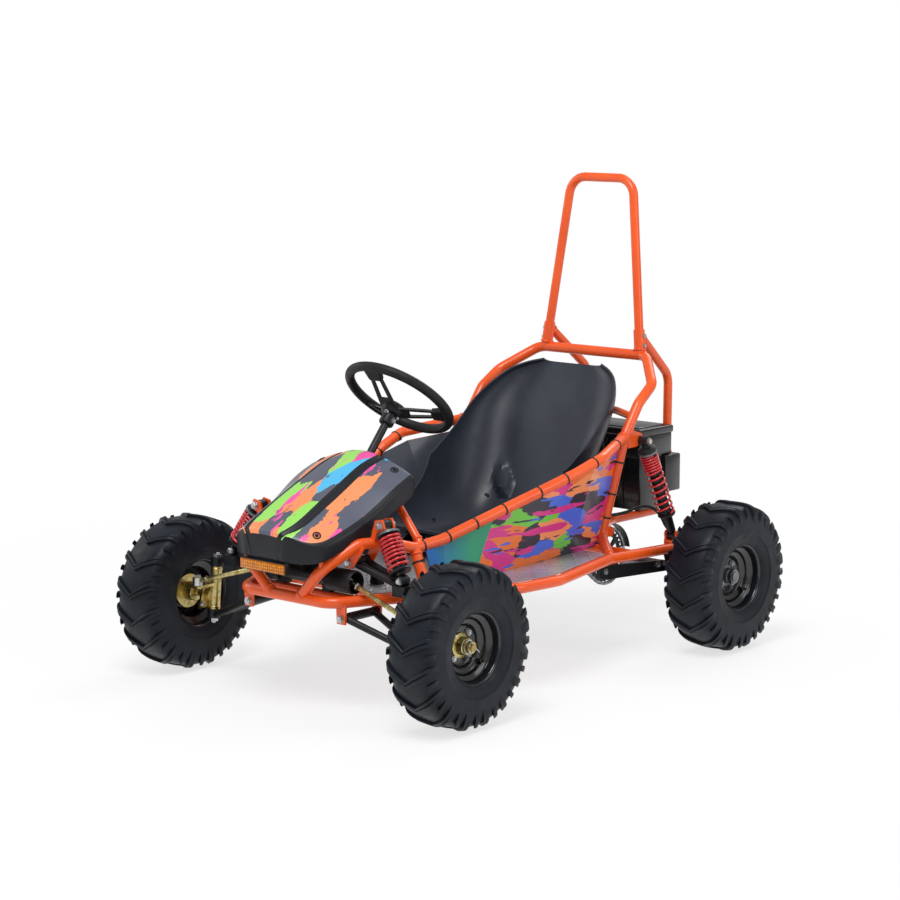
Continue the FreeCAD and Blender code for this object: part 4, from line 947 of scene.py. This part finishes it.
# Motor: ribs, end bell and its bolts
bm, bolts = bmesh.new(), bmesh.new()
motor = Vector((0, motor_y, motor_z))
for i in range(10):
    x = -58 + 9 * i
    turned(bm, [(x - 1.8, 53), (x - 1.5, 56), (x + 1.5, 56), (x + 1.8, 53)], motor, X, 56)
turned(bm, [(-80, 0), (-80, 30), (-78.5, 40), (-76, 52), (-72, 54.5), (-68, 54.5), (-66, 50), (-66, 0)], motor, X, 56)
for place in around(motor - X * 77.5, 44, 6, 15):
    bolt(bolts, place, -X, 5)
finished("motor_ribs", bm, motor_black, sharp=30)
finished("motor_bolts", bolts, bright_steel)

# Drive chain round the sprocket and the motor's pinion
sprocket_x, sprocket_r, pinion_r, axle_bore = 62, 66, 17, 12.6


def chain_line(gap, pitch):
    """Evenly spaced places and headings along the chain's loop, a gap outside the two wheels."""
    way_y, way_z = rear_y - motor_y, wheel_z - motor_z
    reach, heading = hypot(way_y, way_z), degrees(atan2(way_z, way_y))
    leave = 90 + degrees(asin((sprocket_r - pinion_r) / reach))
    corners = []
    for y, z, radius, begin, end in ((rear_y, wheel_z, sprocket_r, -leave, leave),
                                     (motor_y, motor_z, pinion_r, leave, 360 - leave)):
        for i in range(25):
            turn = radians(heading + begin + (end - begin) * i / 24)
            corners.append(Vector((0, y + (radius + gap) * cos(turn), z + (radius + gap) * sin(turn))))
    corners.append(corners[0])
    total = sum((b - a).length for a, b in zip(corners, corners[1:]))
    count = round(total / pitch)
    places, left = [], 0.0
    for a, b in zip(corners, corners[1:]):
        span = (b - a).length
        while left < span - 0.001 and len(places) < count:
            places.append((a.lerp(b, left / span), (b - a).normalized()))
            left += total / count
        left -= span
    return places


bm = bmesh.new()
for i, (place, along) in enumerate(chain_line(3.6, 9.5)):
    centre = place + X * sprocket_x
    rod(bm, centre - X * 3.4, centre + X * 3.4, 2.9, 10, 0.3)
    wide = 3.0 if i % 2 else 4.0
    for x in (-wide, wide):
        turn = Matrix.Rotation(atan2(along.z, along.y), 4, "X")
        block(bm, (-0.5, -2.4, -2.9), (0.5, 12.0, 2.9), 0.4, 1, Matrix.Translation(centre + X * x) @ turn)
finished("chain_links", bm, dull_steel, replaces=["drive_chain"], sharp=30)

# Sprocket and brake disc, pierced


def pierced(bm, radii, steps, thick, centre, is_cut, tooth=0.0):
    """A flat disc about X with windows, and with teeth where tooth is their depth."""
    before = set(bm.verts)
    turned(bm, [(0, r) for r in radii], steps=steps, flat=True)
    made = added(bm, before)
    if tooth:
        rim = sorted((v for v in made if v.co.xy.length > radii[-1] - 0.01), key=lambda v: atan2(v.co.y, v.co.x))
        for i, vert in enumerate(rim):
            if i % 4 in (2, 3):
                vert.co.xy = vert.co.xy * (1 - tooth / radii[-1])
    faces = list({face for vert in made for face in vert.link_faces})
    gone = []
    for face in faces:
        middle = face.calc_center_median().xy
        band = sum(middle.length > r for r in radii) - 1
        if is_cut(band, int((degrees(atan2(middle.y, middle.x)) % 360) / 360 * steps)):
            gone.append(face)
    bmesh.ops.delete(bm, geom=gone, context="FACES")
    bmesh.ops.solidify(bm, geom=[face for face in faces if face.is_valid], thickness=thick)
    outwards(bm, added(bm, before))
    moved(bm, before, placed(Vector(centre) - X * thick / 2, X))


def sprocket_hub(bm, start, end):
    """The clamp that holds the sprocket or the brake disc on the axle."""
    turned(bm, [(start, axle_bore), (start, 23), (start + 1, 24), (end - 1, 24), (end, 23), (end, axle_bore)],
           (0, rear_y, wheel_z), X, 40)


bm = bmesh.new()
pierced(bm, [axle_bore, 24, 30, 52, 58, sprocket_r], 128, 5, (sprocket_x, rear_y, wheel_z),
        lambda band, i: band == 2 and i % 16 < 11, 5)
sprocket_hub(bm, 42, 82)
for place in around((sprocket_x - 2.5, rear_y, wheel_z), 26.5, 4, 45):
    bolt(bm, place, -X, 4)
finished("sprocket_wheel", bm, satin_black, body="rear_axle", replaces=["sprocket"], slot="steel", bevel=0.3)
bm = bmesh.new()
pierced(bm, [axle_bore, 24, 32, 46, 52, 58, 68], 144, 4, (-226, rear_y, wheel_z),
        lambda band, i: (band == 2 and i % 24 < 17) or (band == 4 and i % 6 < 2))
sprocket_hub(bm, -242, -210)
finished("brake_rotor", bm, dull_steel, body="rear_axle", replaces=["brake_disc"], bevel=0.3)

# Brake hose from the hoop to the rear arm, through the same points as the frame's
hose_points = [hoop_knee.lerp(hoop_node, 0.2), (238, 322, 326), (240, 362, 336), (240, 400, 335), (240, 436, 324),
               (241, 466, 300), (242, 484, 268), (294, 486, 232)]
line = bpy.data.curves.new("brake hose line", "CURVE")
line.dimensions = "3D"
run = line.splines.new("NURBS")
run.points.add(len(hose_points) - 1)
for point, place in zip(run.points, hose_points):
    point.co = (*(Vector(place) * MM), 1)
run.order_u = 3
run.use_endpoint_u = True
run.resolution_u = 10
line.bevel_depth, line.bevel_resolution = 0.004, 5
holder = bpy.data.objects.new("hose line", line)
bm = bmesh.new()
bm.from_mesh(bpy.data.meshes.new_from_object(holder))
bpy.data.objects.remove(holder)
# In millimetres again, as finished() wants it
bmesh.ops.scale(bm, vec=(1000, 1000, 1000), verts=bm.verts)
finished("brake_hose_tube", bm, soft_rubber, replaces=["brake_hose"])

# Ribbed rubber on the pedals
bm = bmesh.new()
for side in (1, -1):
    block(bm, (side * 105 - 21, -430.4, 327), (side * 105 + 21, -427, 393), 1.4)
    for i in range(6):
        block(bm, (side * 105 - 17, -428, 333 + 10 * i), (side * 105 + 17, -424.6, 337.5 + 10 * i), 1)
finished("pedal_pads", bm, soft_rubber)

# Screws of the nose cowl, each in its dark cup


def cowl_height(x, y):
    """Height of the cowl's top beside its groove."""
    for a, b in zip(cowl_table, cowl_table[1:]):
        if a[0] <= y <= b[0]:
            share = (y - a[0]) / (b[0] - a[0])
            _, groove, _, groove_z, edge, edge_z, _ = (p + (q - p) * share for p, q in zip(a, b))
            return cowl_top(x, groove, groove_z, edge, edge_z)


bm, cups = bmesh.new(), bmesh.new()
for x, y in ((108, -586), (112, -345)):
    place = Vector((x, y, cowl_height(x, y)))
    fall_x = cowl_height(x - 2, y) - cowl_height(x + 2, y)
    fall_y = cowl_height(x, y - 2) - cowl_height(x, y + 2)
    normal = Vector((fall_x, fall_y, 4)).normalized()
    turned(cups, [(-1.5, 0), (-1.5, 9.5), (0.4, 9.5), (0.9, 8.4), (0.1, 6.6), (-1.0, 5.8), (-1.0, 0)], place,
           normal, 32)
    button(bm, place - normal * 1.0, normal, 4.6)
mirrored(bm)
mirrored(cups)
finished("cowl_screws", bm, satin_black)
finished("cowl_cups", cups, cowl_plastic)

# Floor, lamps, camera


def stage():
    """A pale floor that goes over into the white backdrop, and the white world round it."""
    bm = bmesh.new()
    bmesh.ops.create_grid(bm, x_segments=1, y_segments=1, size=30)
    mesh = bpy.data.meshes.new("floor")
    bm.to_mesh(mesh)
    bm.free()
    floor = shown("floor", mesh)
    pale = bpy.data.materials.new("pale floor")
    pale.use_nodes = True
    shader_of(pale).inputs["Base Color"].default_value = (0.9, 0.9, 0.9, 1)
    shader_of(pale).inputs["Roughness"].default_value = 0.9
    rays = node(pale, "LightPath").outputs
    seen = maths(pale, "MAXIMUM", rays["Is Glossy Ray"], rays["Is Transmission Ray"])
    seen = maths(pale, "MAXIMUM", rays["Is Camera Ray"], seen)
    glow = node(pale, "Emission", {"Color": (1, 1, 1, 1), "Strength": 1.0})
    # Far from the buggy the floor is as white as the backdrop
    far = node(pale, "VectorMath", {0: node(pale, "TexCoord").outputs["Object"]}, operation="LENGTH").outputs["Value"]
    white = between(pale, far, 0.7, 1.0, 0.9, 2.2)
    blend = node(pale, "MixShader", {0: maths(pale, "MULTIPLY", seen, white), 1: shader_of(pale).outputs[0],
                                     2: glow.outputs[0]})
    pale.node_tree.links.new(blend.outputs[0], pale.node_tree.nodes["Material Output"].inputs["Surface"])
    mesh.materials.append(pale)

    world = bpy.data.worlds.new("studio")
    bpy.context.scene.world = world
    world.use_nodes = True
    rays = node(world, "LightPath").outputs
    seen = maths(world, "MAXIMUM", rays["Is Camera Ray"], rays["Is Transmission Ray"])
    strength = node(world, "MapRange", {"Value": seen, "To Min": 0.45, "To Max": 1.0}).outputs["Result"]
    background = world.node_tree.nodes["Background"]
    background.inputs["Color"].default_value = (1, 1, 1, 1)
    world.node_tree.links.new(strength, background.inputs["Strength"])


lamp_width = 2.6


def lamp(name, place, target, power):
    light = bpy.data.lights.new(name, "AREA")
    light.shape, light.size, light.energy = "DISK", lamp_width, power
    made = shown(name, light)
    made.location = place
    made.rotation_euler = (Vector(target) - Vector(place)).to_track_quat("-Z", "Y").to_euler()


def camera(place, turn, rise, focal, picture):
    """The photo's camera: place in millimetres, angles in degrees, focal length and width in pixels."""
    lens = bpy.data.cameras.new("camera")
    lens.sensor_width = 36
    lens.lens = focal / picture * lens.sensor_width
    lens.clip_end = 100
    made = shown("camera", lens)
    turn, rise = radians(turn), radians(rise)
    back = Vector((sin(turn) * cos(rise), -cos(turn) * cos(rise), sin(rise)))
    right = Vector((cos(turn), sin(turn), 0))
    axes = Matrix((right, back.cross(right), back)).transposed().to_4x4()
    made.matrix_world = Matrix.Translation(Vector(place) * MM) @ axes
    bpy.context.scene.camera = made


stage()
lamp("key", (1.1, -2.2, 4.6), (0, 0, 0.4), 150)
lamp("left fill", (-4.2, -1.6, 2.4), (0, 0, 0.4), 36)
lamp("right fill", (4.4, 0.8, 2.2), (0, 0, 0.4), 40)
lamp("back", (-0.5, 3.6, 3.6), (0, 0, 0.5), 60)
camera((3791.655, -4350.41, 1394.974), 41.291, 8.893, 2512.589, 900)
bpy.context.scene.view_settings.view_transform = "Standard"
